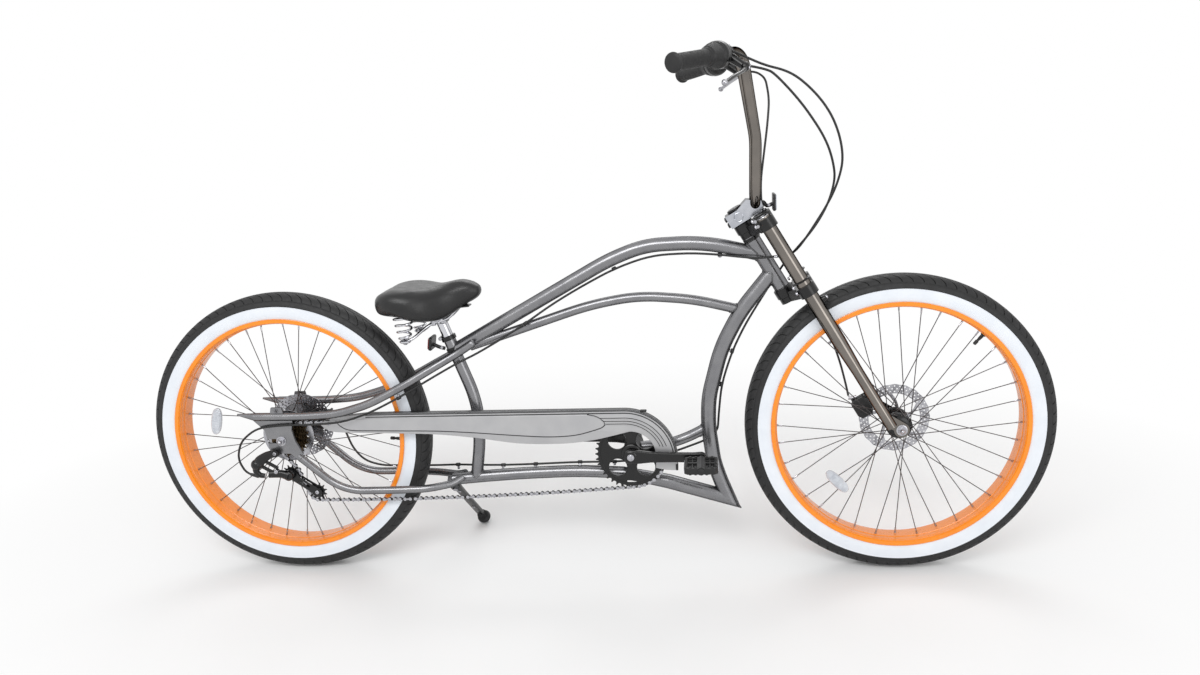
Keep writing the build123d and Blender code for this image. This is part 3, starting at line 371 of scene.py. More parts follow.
def drawn_in(loop, amount):
    """A closed outline with the material on its left, moved into the material."""
    a, b = loop - np.roll(loop, 1, 0), np.roll(loop, -1, 0) - loop
    a /= np.maximum(norm(a, axis=1), 1e-9)[:, None]
    b /= np.maximum(norm(b, axis=1), 1e-9)[:, None]
    normal = np.stack([-(a[:, 1] + b[:, 1]), a[:, 0] + b[:, 0]], 1)
    size = np.maximum(norm(normal, axis=1), 0.7)[:, None]
    return loop + normal / size * (amount * np.minimum(2 / size, 1.4))


def slab(loops, low, high, edge, origin=(0, 0, 0), across=(1, 0, 0), up=(0, 0, 1), out=(0, 1, 0), steps=1):
    """A plate between two heights along out; its outline and holes are drawn along across and up."""
    origin, across, up, out = (arr(q) for q in (origin, across, up, out))
    flip = np.dot(np.cross(across, up), out) < 0
    fixed = []
    for index, loop in enumerate(loops):
        x, y = arr(loop).T
        leftward = np.sum(x * np.roll(y, -1) - y * np.roll(x, -1)) > 0
        fixed.append(arr(loop) if leftward == (index == 0) else arr(loop)[::-1])
    turns = np.linspace(0, pi / 2, steps + 1) if edge else [pi / 2]
    drawn = [([drawn_in(loop, edge * (1 - sin(t))) for loop in fixed], edge * (1 - cos(t))) for t in turns]
    layers = [(group, low + rise) for group, rise in drawn]
    layers += [(group, high - rise) for group, rise in reversed(drawn)]
    points = [origin + loop[:, :1] * across + loop[:, 1:] * up + out * height
              for group, height in layers for loop in group]
    size = sum(len(loop) for loop in fixed)
    faces, offset = [], 0
    for n in map(len, fixed):
        for a in range(offset, offset + (len(layers) - 1) * size, size):
            faces += [(a + i, a + (i + 1) % n, a + size + (i + 1) % n, a + size + i) for i in range(n)]
        offset += n
    flat = np.concatenate(drawn[0][0])
    last = (len(layers) - 1) * size
    for tri in tessellate_polygon([[Vector((*q, 0)) for q in loop] for loop in drawn[0][0]]):
        a, b, c = (flat[i] for i in tri)
        if (b[0] - a[0]) * (c[1] - a[1]) - (b[1] - a[1]) * (c[0] - a[0]) < 0:
            tri = tri[::-1]
        faces += [tuple(last + i for i in tri), tuple(reversed(tri))]
    return np.concatenate(points), [face[::-1] for face in faces] if flip else faces


def circle(x, z, radius, count):
    return np.stack([x + radius * np.cos(around(count)), z + radius * np.sin(around(count))], 1)


def holes_round(reach, angles, radius, count):
    """Round holes, their middles on a circle."""
    return [circle(reach * cos(a), reach * sin(a), radius, count) for a in angles]


def rounded(corners, radius, steps):
    """A closed outline with its corners rounded."""
    c = [arr(q) for q in corners]
    result = []
    for i, q in enumerate(c):
        a, b = c[i - 1] - q, c[(i + 1) % len(c)] - q
        la, lb = norm(a), norm(b)
        a, b = a / la, b / lb
        half = acos(max(-1, min(1, float(np.dot(a, b))))) / 2
        cut = min(radius / max(tan(half), 1e-3), 0.48 * la, 0.48 * lb)
        p, r = q + a * cut, q + b * cut
        result += [(1 - t) ** 2 * p + 2 * t * (1 - t) * q + t * t * r for t in np.linspace(0, 1, steps)]
    return np.array(result)


def oblong(w, h, radius, steps):
    """A rectangle with rounded corners, by its half width and half height."""
    return rounded([(-w, -h), (w, -h), (w, h), (-w, h)], radius, steps)


def block(centre, size, edge, axes=((1, 0, 0), (0, 1, 0), (0, 0, 1))):
    """A box with rounded edges along given axes."""
    across, out, up = (unit(a) for a in axes)
    w, d, h = (s / 2 for s in size)
    return slab([oblong(w, h, edge * 1.6, 4)], -d, d, min(edge, d * 0.6), centre, across, up, out)


def bolt(seat, direction, radius, height, hexagon=False, socket=True):
    """A cap screw with a socket, or a hexagon head."""
    if hexagon:
        profile = [(0, radius), (height * 0.8, radius), (height, radius * 0.82), (height, 1e-3)]
        return lathe(seat, direction, profile, 6)
    profile = [(0, radius), (height * 0.78, radius), (height, radius * 0.82)]
    if socket:
        profile += [(height, radius * 0.48), (height * 0.5, radius * 0.48), (height * 0.5, 1e-3)]
    else:
        profile += [(height * 1.15, radius * 0.4), (height * 1.2, 1e-3)]
    return lathe(seat, direction, profile, 20)


class Bag:
    """A piece being gathered from many forms, each with one of its finishes."""

    def __init__(self, name, body, looks, slot, replaces=(), angle=34):
        self.name, self.body, self.slot, self.nodes, self.angle = name, body, slot, replaces, angle
        self.looks = looks.split()
        self.points, self.faces, self.marks, self.count = [], [], [], 0

    def add(self, form, look=None):
        points, faces = form
        self.faces += [tuple(i + self.count for i in face) for face in faces]
        self.marks += [self.looks.index(look) if look else 0] * len(faces)
        self.points.append(points)
        self.count += len(points)
        return self

    def done(self):
        mesh = bpy.data.meshes.new(self.name)
        mesh.from_pydata(row(np.concatenate(self.points)).tolist(), [], self.faces)
        for look in self.looks:
            mesh.materials.append(LOOKS[look])
        mesh.polygons.foreach_set("material_index", self.marks)
        outward = bmesh.new()
        outward.from_mesh(mesh)
        bmesh.ops.recalc_face_normals(outward, faces=outward.faces)
        outward.to_mesh(mesh)
        outward.free()
        mesh.shade_smooth()
        mesh.set_sharp_from_angle(angle=radians(self.angle))
        mesh.validate()
        obj = linked(self.name, mesh)
        if self.body:
            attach(obj, self.body)
        if self.nodes:
            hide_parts(*self.nodes)
        return obj


def smoothing_group():
    """Joins a CAD node's split corners and smooths it up to an angle, as a modifier."""
    group = bpy.data.node_groups.new("smooth_cad", "GeometryNodeTree")
    for way in ("INPUT", "OUTPUT"):
        group.interface.new_socket("Geometry", in_out=way, socket_type="NodeSocketGeometry")
    make = maker(group, "")
    plain = make("GeometryNodeRemoveAttribute", {"Geometry": make("NodeGroupInput")[0], "Name": "custom_normal"})
    merged = make("GeometryNodeMergeByDistance", {"Geometry": plain[0], "Distance": 0.00001})
    faces = make("GeometryNodeSetShadeSmooth", {"Geometry": merged[0]})
    angle = make("GeometryNodeInputMeshEdgeAngle")["Unsigned Angle"]
    small = make("FunctionNodeCompare", {"A": angle, "B": SMOOTH_UNDER}, data_type="FLOAT",
                 operation="LESS_THAN")
    edges = make("GeometryNodeSetShadeSmooth", {"Geometry": faces[0], "Shade Smooth": small[0]}, domain="EDGE")
    make("NodeGroupOutput", {0: edges[0]})
    return group


SMOOTH = smoothing_group()


def dress(look, *names):
    """CAD nodes that stay get a finish and smooth shading."""
    for name in names:
        node = frame["nodes"][name]
        node.data.materials.clear()
        node.data.materials.append(LOOKS[look])
        node.modifiers.new("smooth", "NODES").node_group = SMOOTH


# ---- wheels ----
REAR, FRONT, CRANK = V(0, 0, AXLE_Z), V(1429, 0, AXLE_Z), V(825.5, 0, 304)
SIDE = V(0, 1, 0)
HOLE_R, NIPPLE_R, SPOKES_A_SIDE = 25, 270.8, 18
TREAD_CUTS = 88


def polar(centre, radius, angle, y=0.0):
    """A point of a wheel, by its radius, its angle in radians and its place across."""
    return arr(centre) + V(radius * cos(angle), y, radius * sin(angle))


def tyre(prefix, centre):
    """A balloon tyre: white walls, a shoulder line and curved cuts into the tread."""
    half = [(0, 343.4), (9, 343.1), (17, 341.4), (24.2, 337.4), (29.4, 331), (33.2, 323), (35.4, 314), (36, 304),
            (35, 294), (32.4, 286.8), (30.6, 283), (30.2, 279)]
    half = smooth_line(half, 12)
    way = np.concatenate([[0], np.cumsum(norm(np.diff(half, axis=0), axis=1))])
    wall = float(np.interp(-315.5, -half[:, 1], way))
    stops = [0, 5, 6.2, 6.9, 7.7, 10, 14, 18, 22, 26, 30, 33, 36, 36.8, 37.8, 38.6, 42]
    stops += [wall + d for d in (-3.2, -0.6, 0, 0.9, 1.8)] + list(np.linspace(wall + 5, way[-1], 9))
    stops = np.array(stops)
    relief = np.interp(
        stops, [0, 6.1, 6.3, 7.6, 7.8, 36.6, 37.0, 38.5, 42] + [wall + d for d in (-3.3, -0.7, 0, 1, 2)] + [99],
        [0, 0, -1.1, -1.1, 0, 0, -1.5, -0.5, 0, 0, 0, 0.9, 0.9, 0, 0])
    base = np.stack([np.interp(stops, way, half[:, k]) for k in (0, 1)], 1)
    step = np.gradient(base, axis=0)
    normal = np.stack([-step[:, 1], step[:, 0]], 1)
    normal *= np.sign((normal * (base - V(0, 305))).sum(1))[:, None] / norm(normal, axis=1)[:, None]

    def both(values, sign=1):
        """The half section's values for the whole section."""
        return np.concatenate([sign * values[:0:-1], values])

    across, radius, s, rise = both(base[:, 0], -1), both(base[:, 1]), both(stops), both(relief)
    n_y, n_r = both(normal[:, 0], -1), both(normal[:, 1])
    bend = 1.15 * (1 - np.clip((s - 9) / 27, 0, 1)) ** 1.7
    depth = 2.0 * np.interp(s, [0, 9, 11, 35.5, 36.5], [0, 0, 1, 1, 0])
    rings = []
    for k in range(TREAD_CUTS):
        for mark, cut in ((-1.5, 0), (-0.8, 1), (0.8, 1), (1.5, 0), (7, 0), (12.3, 0), (17.6, 0)):
            angle = (k + mark / 24.5 + bend) * 2 * pi / TREAD_CUTS
            move = rise - depth * cut
            r = radius + n_r * move
            rings.append(np.stack([centre[0] + r * np.cos(angle), across + n_y * move,
                                   centre[2] + r * np.sin(angle)], 1))
    count = len(s)
    white = s > wall + 0.5
    bag = Bag(prefix + "_balloon_tyre", prefix + "_wheel", "rubber white", "tyre_rubber", (prefix + "_tyre",), 40)
    bag.add((np.concatenate(rings), grid_faces(len(rings), count, True)))
    bag.marks = [int(white[face[0] % count] and white[face[1] % count]) for face in bag.faces]
    bag.done()


def rim(prefix, centre):
    """A deep orange rim with a ribbed barrel and rolled flanges."""
    side = [(-34.4, 276.2), (-34.4, 284), (-33.8, 285), (-32, 285), (-31.4, 284.2), (-31.4, 277), (-29, 276.9)]
    inner = [(30.6, 273.7), (26, 273.4), (25, 272.4), (12.5, 271.9), (11.5, 270.6)]
    profile = side + [(-y, r) for y, r in reversed(side)] + inner + [(-y, r) for y, r in reversed(inner)]
    bag = Bag(prefix + "_wide_rim", prefix + "_wheel", "orange", "rim_paint", (prefix + "_rim",), 28)
    bag.add(lathe(centre, SIDE, profile, 160, True)).done()


def spokes(prefix, centre, flange_y):
    """Laced wire spokes with bright nipples, their heads in the flanges."""
    bag = Bag(prefix + "_laced_spokes", prefix + "_wheel", "wire steel", "spoke_steel", (prefix + "_spokes",))
    step = 2 * pi / SPOKES_A_SIDE
    wire = dict(radius=1.05, segments=8, edge=0.2)
    for side in (-1, 1):
        for index in range(SPOKES_A_SIDE):
            lead = 1 if index % 2 else -1
            hole = step * index + (step / 2 if side > 0 else 0)
            start = polar(centre, HOLE_R, hole, side * (flange_y + lead * 3.2))
            stop = polar(centre, NIPPLE_R, hole + lead * step * 3, side * 7)
            along = unit(stop - start)
            bag.add(bar(start, stop - along * 9, **wire))
            bag.add(bar(polar(centre, HOLE_R, hole, side * (flange_y - lead * 3.0)), start + along * 0.6, **wire))
            bag.add(ball(polar(centre, HOLE_R, hole, side * (flange_y - lead * 2.2)), 1.9, 8))
            bag.add(bar(stop - along * 13, stop - along * 4, 1.9, segments=10, edge=0.4), "steel")
            bag.add(lathe(stop - along * 4.2, along, [(0, 1.6), (0.4, 2.3), (4.6, 2.5), (5, 2.1)], 6), "steel")
    bag.done()


def hub(prefix, centre, flange_y, right_end, left_end, rotor_y):
    """A wide black hub shell with two flanges and a disc seat."""
    profile = [(-flange_y - 1.4, 24)]
    rings = [left_end - 2.4]
    if right_end > flange_y + 3:
        profile = [(-right_end, 5.6), (-right_end, 12.2), (-right_end + 0.8, 13), (-flange_y - 5, 13.4),
                   (-flange_y - 2.6, 17)] + profile
        rings = [-right_end - 0.2] + rings
    else:
        profile = [(-flange_y - 1.4, 5.6)] + profile
    flange = [(-1.3, 27.6), (-0.7, 29), (0.7, 29), (1.3, 27.6)]
    waist = [(1.5 - flange_y, 24.6), (4 - flange_y, 22.4), (9 - flange_y, 21.6), (-6, 21.2), (-5, 20.6)]
    profile += [(y - flange_y, r) for y, r in flange] + waist + [(-y, r) for y, r in reversed(waist)]
    profile += [(y + flange_y, r) for y, r in flange]
    profile += [(flange_y + 1.5, 19.4), (rotor_y - 1.4, 19), (rotor_y + 1.8, 19), (rotor_y + 1.9, 13),
                (left_end - 0.8, 13), (left_end, 12.2), (left_end, 5.6)]
    bag = Bag(prefix + "_hub_shell", prefix + "_wheel", "black steel", "black_metal", (prefix + "_hub",), 30)
    bag.add(lathe(centre, SIDE, profile, 56))
    for y in rings:
        nut = [(0, 5.6), (0, 10.8), (0.6, 11.4), (2.2, 11.4), (2.6, 10.8), (2.6, 5.6)]
        bag.add(lathe(centre + SIDE * y, SIDE, nut, 40), "steel")
    bag.done()


def rotor(prefix, centre, y):
    """A drilled brake disc on swept arms, held by six screws."""
    bag = Bag(prefix + "_brake_disc", prefix + "_wheel", "steel black", "disc_steel", (prefix + "_rotor",))
    holes = []
    for reach, turned in ((62.5, 0.0), (69, 0.5), (75.5, 0.0)):
        holes += holes_round(reach, 2 * pi * (np.arange(40) + turned) / 40, 1.9, 8)
    edge = [polar((0, 0, 0), 80 - 0.7 * (1 - cos(20 * a)), a)[[0, 2]] for a in around(240)]
    bag.add(slab([edge, circle(0, 0, 58, 96)] + holes, y - 0.95, y + 0.95, 0.0, centre))
    bag.add(slab([circle(0, 0, 26, 48), circle(0, 0, 19.3, 48)], y - 0.8, y + 0.8, 0.2, centre))
    for k in range(5):
        line = [polar((0, 0, 0), r, 2 * pi * k / 5 + 0.5 * (r - 20) / 38) for r in (21, 30, 40, 50, 59.5)]
        left, right = [], []
        for i, q in enumerate(line):
            d = unit(line[min(i + 1, 4)] - line[max(i - 1, 0)])
            aside = V(-d[2], 0, d[0]) * (4.6 if i in (0, 4) else 3.2)
            left.append((q + aside)[[0, 2]])
            right.append((q - aside)[[0, 2]])
        bag.add(slab([left + right[::-1]], y - 0.85, y + 0.85, 0.2, centre))
    for k in range(6):
        bag.add(bolt(polar(centre, 22, pi * (k + 0.5) / 3, y + 0.8), SIDE, 3.6, 2.6), "black")
    bag.done()


def toothed(pitch_r, teeth, start=0.0):
    """A sprocket's outline: rounded valleys between blunt teeth."""
    tooth = [(-0.36, -3.0), (-0.22, -1.6), (-0.13, 1.6), (-0.06, 3.4)]
    tooth += [(-share, grow) for share, grow in reversed(tooth)]
    return np.array([polar((0, 0, 0), pitch_r + grow, 2 * pi * (k + share) / teeth + start)[[0, 2]]
                     for k in range(teeth) for share, grow in tooth])


def valve(prefix, centre, target):
    """A tyre valve with its cap, from the rim towards the hub."""
    inward = unit((centre - target) * (1, 0, 1))
    profile = [(0, 6.4), (2.2, 6.2), (3, 4.2), (14, 3.6), (15, 3.0), (19, 3.0), (19.4, 4.1), (28, 3.9),
               (29.5, 2.6), (30, 0.01)]
    bag = Bag(prefix + "_valve", prefix + "_wheel", "plastic", "tyre_rubber")
    bag.add(lathe(centre - inward * 271, inward, profile, 20)).done()


def wheel_reflector(prefix, centre, spot):
    """A clear reflector clipped between the spokes."""
    out = unit((spot - centre) * (1, 0, 1))
    along = np.cross(out, SIDE)
    c, s = np.cos(around(40)), np.sin(around(40))
    shape = np.stack([33 * np.sign(c) * np.abs(c) ** 0.8, 12.5 * np.sign(s) * np.abs(s) ** 0.8], 1)
    bag = Bag(prefix + "_wheel_reflector", prefix + "_wheel", "clear plastic", "clear_reflector")
    bag.add(slab([shape], -4.5, 3.5, 1.2, spot, along, out))
    bag.add(slab([shape * (0.86, 0.78)], -5.4, -4.2, 0.6, spot, along, out))
    for k in range(-4, 5):
        rib = (1.2, 1.2, 15 - abs(k) * 1.2)
        bag.add(block(spot + along * k * 6 - SIDE * 5.3, rib, 0.4, (along, SIDE, out)))
    back = spot + SIDE * 3
    bag.add(bar(back - along * 20, back + along * 20, 2.4, segments=12), "plastic").done()


ROTOR_Y = {"rear": 53.0, "front": 39.5}
for prefix, centre, flange_y, ends in (("rear", REAR, 27, (27, 64.5)), ("front", FRONT, 24, (47, 47))):
    tyre(prefix, centre)
    rim(prefix, centre)
    spokes(prefix, centre, flange_y)
    hub(prefix, centre, flange_y, *ends, ROTOR_Y[prefix])
    rotor(prefix, centre, ROTOR_Y[prefix])
valve("rear", REAR, V(247, 0, 333.5))
valve("front", FRONT, V(1606, 0, 549))
wheel_reflector("rear", REAR, V(-182, -20, 389))
wheel_reflector("front", FRONT, V(1293, -20, 222))

LINK = 12.7
cogs = Bag("stacked_cogs", "rear_wheel", "bronze steel black", "cog_steel", ("cassette",))
for index in range(7):
    cog_y, pitch_r = -48 + (index - 3) * 4.6, 28 + 4.1 * index - 3.4
    teeth = toothed(pitch_r, round(2 * pi * pitch_r / LINK), 0.2 * index)
    holes = [circle(0, 0, 17.5, 40)]
    if index > 2:
        holes += holes_round(27, np.arange(6) * pi / 3 + 0.3 * index, 4.2, 16)
    cogs.add(slab([teeth] + holes, cog_y - 0.95, cog_y + 0.95, 0.25, REAR))
cogs.add(lathe(REAR - SIDE * 62, SIDE, [(0, 7), (0, 17), (0.8, 18), (33, 18), (33.4, 17), (33.4, 6)], 48), "black")
cogs.add(lathe(REAR - SIDE * 64.4, SIDE, [(0, 7.4), (0, 15), (0.8, 16), (2.4, 16), (2.4, 7.4)], 24), "steel")
guard_disc = [circle(0, 0, 63, 96), circle(0, 0, 24, 64)] + holes_round(45, np.arange(9) * 2 * pi / 9, 7, 20)
cogs.add(slab(guard_disc, -31.2, -30.0, 0.3, REAR), "steel")
cogs.done()
dress("steel", "rear_axle", "front_axle")

# ---- chain and cranks ----
RING_TEETH, DRIVE_Y = 40, -48.0
PITCH_R = RING_TEETH * LINK / (2 * pi)
GUIDE, TENSION = V(4, 0, 264), V(66, 0, 218)


def tangent(c1, r1, turn_1, c2, r2, turn_2):
    """The ends of the straight run from one wheel to the next."""
    dx, _, dz = c2 - c1
    n = polar((0, 0, 0), 1, atan2(dz, dx) - acos((turn_1 * r1 - turn_2 * r2) / hypot(dx, dz)))
    return c1 + n * turn_1 * r1, c2 + n * turn_2 * r2


def chain_line():
    """The chain's closed line, seen from the side: round the ring, the cogs and the two guide wheels."""
    stops = [(CRANK, PITCH_R, 1), (REAR, 37.3, 1), (GUIDE, 22.0, -1), (TENSION, 22.0, 1)]
    spans = [tangent(*stops[i], *stops[(i + 1) % 4]) for i in range(4)]
    line = []
    for i in range(4):
        start, end = spans[i]
        t = np.linspace(0, 1, 300)[:, None]
        sag = 8 if i == 3 else 0
        line.append(start + (end - start) * t - V(0, 0, sag) * 4 * t * (1 - t))
        centre, radius, way = stops[(i + 1) % 4]
        a, b = (atan2(q[2] - centre[2], q[0] - centre[0]) for q in (end, spans[(i + 1) % 4][0]))
        while way * (b - a) < 0:
            b += way * 2 * pi
        line.append([polar(centre, radius, angle) for angle in np.linspace(a, b, 200)])
    return np.concatenate(line)[:, [0, 2]]


line = chain_line()
line = np.vstack([line, line[:1]])
way = np.concatenate([[0], np.cumsum(norm(np.diff(line, axis=0), axis=1))])
count = 2 * round(way[-1] / (2 * LINK))
places = (np.arange(count) + 0.35) / count * way[-1]
joints = [np.interp(places, way, line[:, k]) for k in (0, 1)]
joints = np.column_stack([joints[0], np.zeros(count), joints[1]])
plate = np.array([(LINK / 2 - 4.2 * cos(a), 4.2 * sin(a)) for a in np.linspace(0.62, 2 * pi - 0.62, 9)])
plate = np.vstack([plate, [(0, 2.7)], -plate, [(0, -2.7)]])
chain = Bag("roller_chain", "frame", "chain steel", "chain_steel", ("chain",), 50)
for i in range(count):
    a, b = joints[i], joints[(i + 1) % count]
    along = unit(b - a)
    at = ((a + b) / 2 + SIDE * DRIVE_Y, along, np.cross(along, SIDE))
    near, far, look = (2.45, 3.2, "steel") if i % 2 else (1.65, 2.35, "chain")
    chain.add(slab([plate], -far, -near, 0.0, *at), look)
    chain.add(slab([plate], near, far, 0.0, *at), look)
    chain.add(bar(a + SIDE * (DRIVE_Y - 3.5), a + SIDE * (DRIVE_Y + 3.5), 1.9, segments=8, edge=0.3), "steel")
    chain.add(bar(a + SIDE * (DRIVE_Y - 1.6), a + SIDE * (DRIVE_Y + 1.6), 3.7, segments=10, edge=0.2))
chain.done()

ring = Bag("chain_ring", "crank", "black steel", "black_metal", ("chainring",))
quarters = (np.arange(4) + 0.5) * pi / 2
notch = rounded([(-13, -69.5), (9, -69.5), (9, -65), (-13, -65)], 2.2, 4)
outlines = [toothed(PITCH_R, RING_TEETH)] + holes_round(46, quarters, 21, 48) + [notch]
ring.add(slab(outlines, DRIVE_Y - 1.5, DRIVE_Y + 1.5, 0.4, CRANK))
for a in quarters:
    ring.add(torus(polar(CRANK, 46, a, DRIVE_Y - 1.6), SIDE, 22.2, 1.2, 48, 8))
ring.add(torus(CRANK + SIDE * (DRIVE_Y - 1.4), SIDE, 72.2, 1.1, 120, 8))
boss = [(0, 11), (0, 20), (2, 23), (5, 24), (10, 24), (11, 21), (11, 11)]
ring.add(lathe(CRANK + SIDE * (DRIVE_Y - 6), SIDE, boss, 56)).done()

arms = Bag("cranks", "crank", "black steel", "black_metal", ("crank_arms",), 36)
drop = radians(1.2)
ends = {}
for side in (-1, 1):
    out = SIDE * side
    way = V(cos(drop), 0, -sin(drop)) * -side
    turns = np.linspace(pi / 2, 3 * pi / 2, 13)
    low_edge = [(22, -15.2), (45, -12.4), (90, -11.2), (140, -11)]
    outline = [(17 * cos(t), 17 * sin(t)) for t in turns] + low_edge
    outline += [(160 - 12.6 * cos(t), -12.6 * sin(t)) for t in turns] + [(x, -z) for x, z in reversed(low_edge)]
    centre = CRANK + out * 70.25
    arms.add(slab([outline], -6.25, 6.25, 3.4, centre, way, -np.cross(way, SIDE), out, 4))
    arms.add(lathe(centre + out * 4, out, [(0, 15), (2.4, 14.6), (4.2, 12), (4.4, 9), (3.2, 7.4)], 40))
    arms.add(bolt(centre + out * 6.4, out, 6.6, 3.4, True), "steel")
    arms.add(lathe(centre + out * 6.2, out, [(0, 8.2), (1.4, 8.2), (1.6, 6.8)], 28), "steel")
    ends[side] = end = centre + way * 160
    arms.add(bar(end - out * 6.4, end + out * 70, 4.5, segments=20), "steel")
    arms.add(bolt(end + out * 6.2, out, 7.6, 5.4, True), "steel")
arms.add(bar(CRANK - SIDE * 65, CRANK + SIDE * 65, 8.5), "steel")
arms.add(bar(CRANK - SIDE * 65, CRANK - SIDE * 53.5, 13, 12)).done()

for side, label in ((-1, "right"), (1, "left")):
    name = "pedal_" + label
    pedal = Bag("platform_" + name, name, "plastic steel clear", "black_plastic", (name,), 36)
    middle = ends[side] + SIDE * side * (6.25 + 8 + 39)
    bays = [oblong(9.75, 14, 3, 4) + (x, y) for x in (-19.25, 19.25) for y in (-17, 17)]
    edge = rounded([(-37, -32), (-30, -39), (30, -39), (37, -32), (37, 32), (30, 39), (-30, 39), (-37, 32)], 5, 4)
    pedal.add(slab([edge] + bays, -7.5, 7.5, 1.6, middle, (1, 0, 0), SIDE, (0, 0, 1), 3))
    for z in (-8.2, 8.2):
        studs = [(x, y) for x in (-33, 33) for y in np.linspace(-27, 27, 7)]
        studs += [(x, y) for y in (-34.5, 34.5) for x in np.linspace(-24, 24, 5)]
        for x, y in studs:
            pedal.add(lathe(middle + V(x, y, z * 0.78), V(0, 0, z), [(0, 3.4), (2.4, 3.2), (3.0, 2.2)], 12))
    for x in (-19.2, 19.2):
        pedal.add(block(middle + V(x, 0, 0), (2.6, 64, 11), 0.8))
        for y in (-17, 17):
            pedal.add(block(middle + V(x, y, 0), (19.6, 2.6, 11), 0.8))
    pedal.add(bar(middle - SIDE * 39.4, middle + SIDE * 39.4, 9.2, segments=28, edge=1.2))
    pedal.add(bolt(middle + SIDE * side * 38.8, SIDE * side, 6.4, 3, socket=False))
    for x in (-37.2, 37.2):
        pedal.add(block(middle + V(x, 0, 0), (1.6, 46, 9.4), 0.6), "clear")
    pedal.done()


# ---- frame and fork ----
HEAD_ANGLE = radians(30.2)
UP = V(-sin(HEAD_ANGLE), 0, cos(HEAD_ANGLE))
AHEAD = V(cos(HEAD_ANGLE), 0, sin(HEAD_ANGLE))
STEER = FRONT + UP * 465.3 - AHEAD * 59.5
SEAT_TOP = V(403.5, 0, 581)
LEG_AHEAD, CROWNS = 44.5, (98.5, -71.5)


def at_steer(t, n=0.0, y=0.0):
    """A point of the steering head: up its axis, ahead of it and to the left."""
    return STEER + UP * t + AHEAD * n + SIDE * y


dress("paint", "head_tube", "top_tube", "arch_tube", "down_tube", "seat_tube", "bottom_bracket", "upper_stays",
      "lower_stays", "dropout_right", "dropout_left", "bottom_tube")
dress("smoke", "fork_legs", "handlebar")
dress("black", "upper_crown", "lower_crown")
dress("alloy", "stem")
dress("sheath", "shift_cable", "rear_brake_cable", "front_brake_cable")

head = Bag("headset_cups", "frame", "black paint", "black_metal")
cup = [(0, 17.9), (0.6, 18.8), (3.5, 19.6), (7.5, 20.3), (8.8, 20), (9.3, 18.6), (9.3, 15.2), (0, 15.2)]
for t, way in ((66, 1), (-60, -1)):
    head.add(lathe(at_steer(t - way * 1.5), UP * way, cup, 56, True))
head.done()


def axle_end(bag, face, out, washer, nut_height, dome):
    """A washer, a nut and a domed axle end on a fork leg or a dropout."""
    bag.add(lathe(face, out, washer, 36), "steel")
    bag.add(bolt(face + out * 1.6, out, 8.9, nut_height, True), "steel")
    bag.add(ball(face + out * dome, 5.2, 16), "steel")


legs = Bag("fork_trim", "fork", "black steel chrome", "black_metal")
wiper = [(0, 16.2), (0, 19.4), (1.2, 20.4), (2.6, 20.2), (3.6, 18.6), (3.6, 16.2)]
leg_cap = [(-2, 14.5), (0, 14.5), (1.4, 13.6), (2.2, 9), (2.2, 6.4), (0.6, 6.2), (0.6, 0.01)]
for side in (-1, 1):
    for t in (111, -59):
        legs.add(lathe(at_steer(t - 1.5, LEG_AHEAD, side * 60), UP, wiper, 48, True))
    legs.add(lathe(at_steer(103, LEG_AHEAD, side * 60), UP, leg_cap, 40), "chrome")
    for t in (92, 106, -78, -64):
        legs.add(bolt(at_steer(t, LEG_AHEAD - 21.5, side * 66), -AHEAD, 4.2, 4.4), "steel")
    for t in (93, 105):
        legs.add(bolt(at_steer(t, 26, side * 80), SIDE * side, 3.8, 3.4), "steel")
crown_boss = [(0, 15), (0, 21.4), (1, 22.2), (20, 22.2), (21, 21.4), (21, 15)]
for t in CROWNS:
    legs.add(lathe(at_steer(t - 10.5), UP, crown_boss, 48, True))
top_cap = [(0, 14.8), (0.4, 16.6), (3, 17.2), (5.6, 16.4), (7, 12), (7, 5.4), (5.4, 5.2), (5.4, 0.01)]
legs.add(lathe(at_steer(141), UP, top_cap, 44))
legs.add(bolt(at_steer(146.2), UP, 4.6, 2.6), "steel")
legs.add(bar(at_steer(-118, 60, -60), at_steer(-118, 71, -60), 7, 6.2, 28, 1.2))
legs.add(bar(at_steer(-118, 69, -60), at_steer(-118, 74, -60), 4.4, 4.0, 20, 0.8), "steel")
for side in (-1, 1):
    washer = [(0, 8), (0, 12), (0.5, 12.4), (1.5, 12.4), (1.8, 11.8), (1.8, 6)]
    axle_end(legs, FRONT + SIDE * side * 56, SIDE * side, washer, 7, 11.2)
legs.done()

clamp = Bag("stem_trim", "fork", "plastic steel alloy", "bolt_steel")
for y in (-13, 13):
    for t in (119, 133):
        clamp.add(bolt(at_steer(t, -25, y), -AHEAD, 4.6, 4.6), "plastic")
    clamp.add(bolt(at_steer(141.5, 30, y * 1.25), UP + AHEAD * 0.35, 4.4, 4.6), "plastic")
    clamp.add(bolt(at_steer(114, 52, y * 1.25), AHEAD - UP * 0.5, 4.2, 3.6), "plastic")
for y in (-24.4, 24.4):
    clamp.add(torus(at_steer(126, 0, y * 0.985), SIDE, 9.5, 0.8, 40, 8), "alloy")
clamp.done()

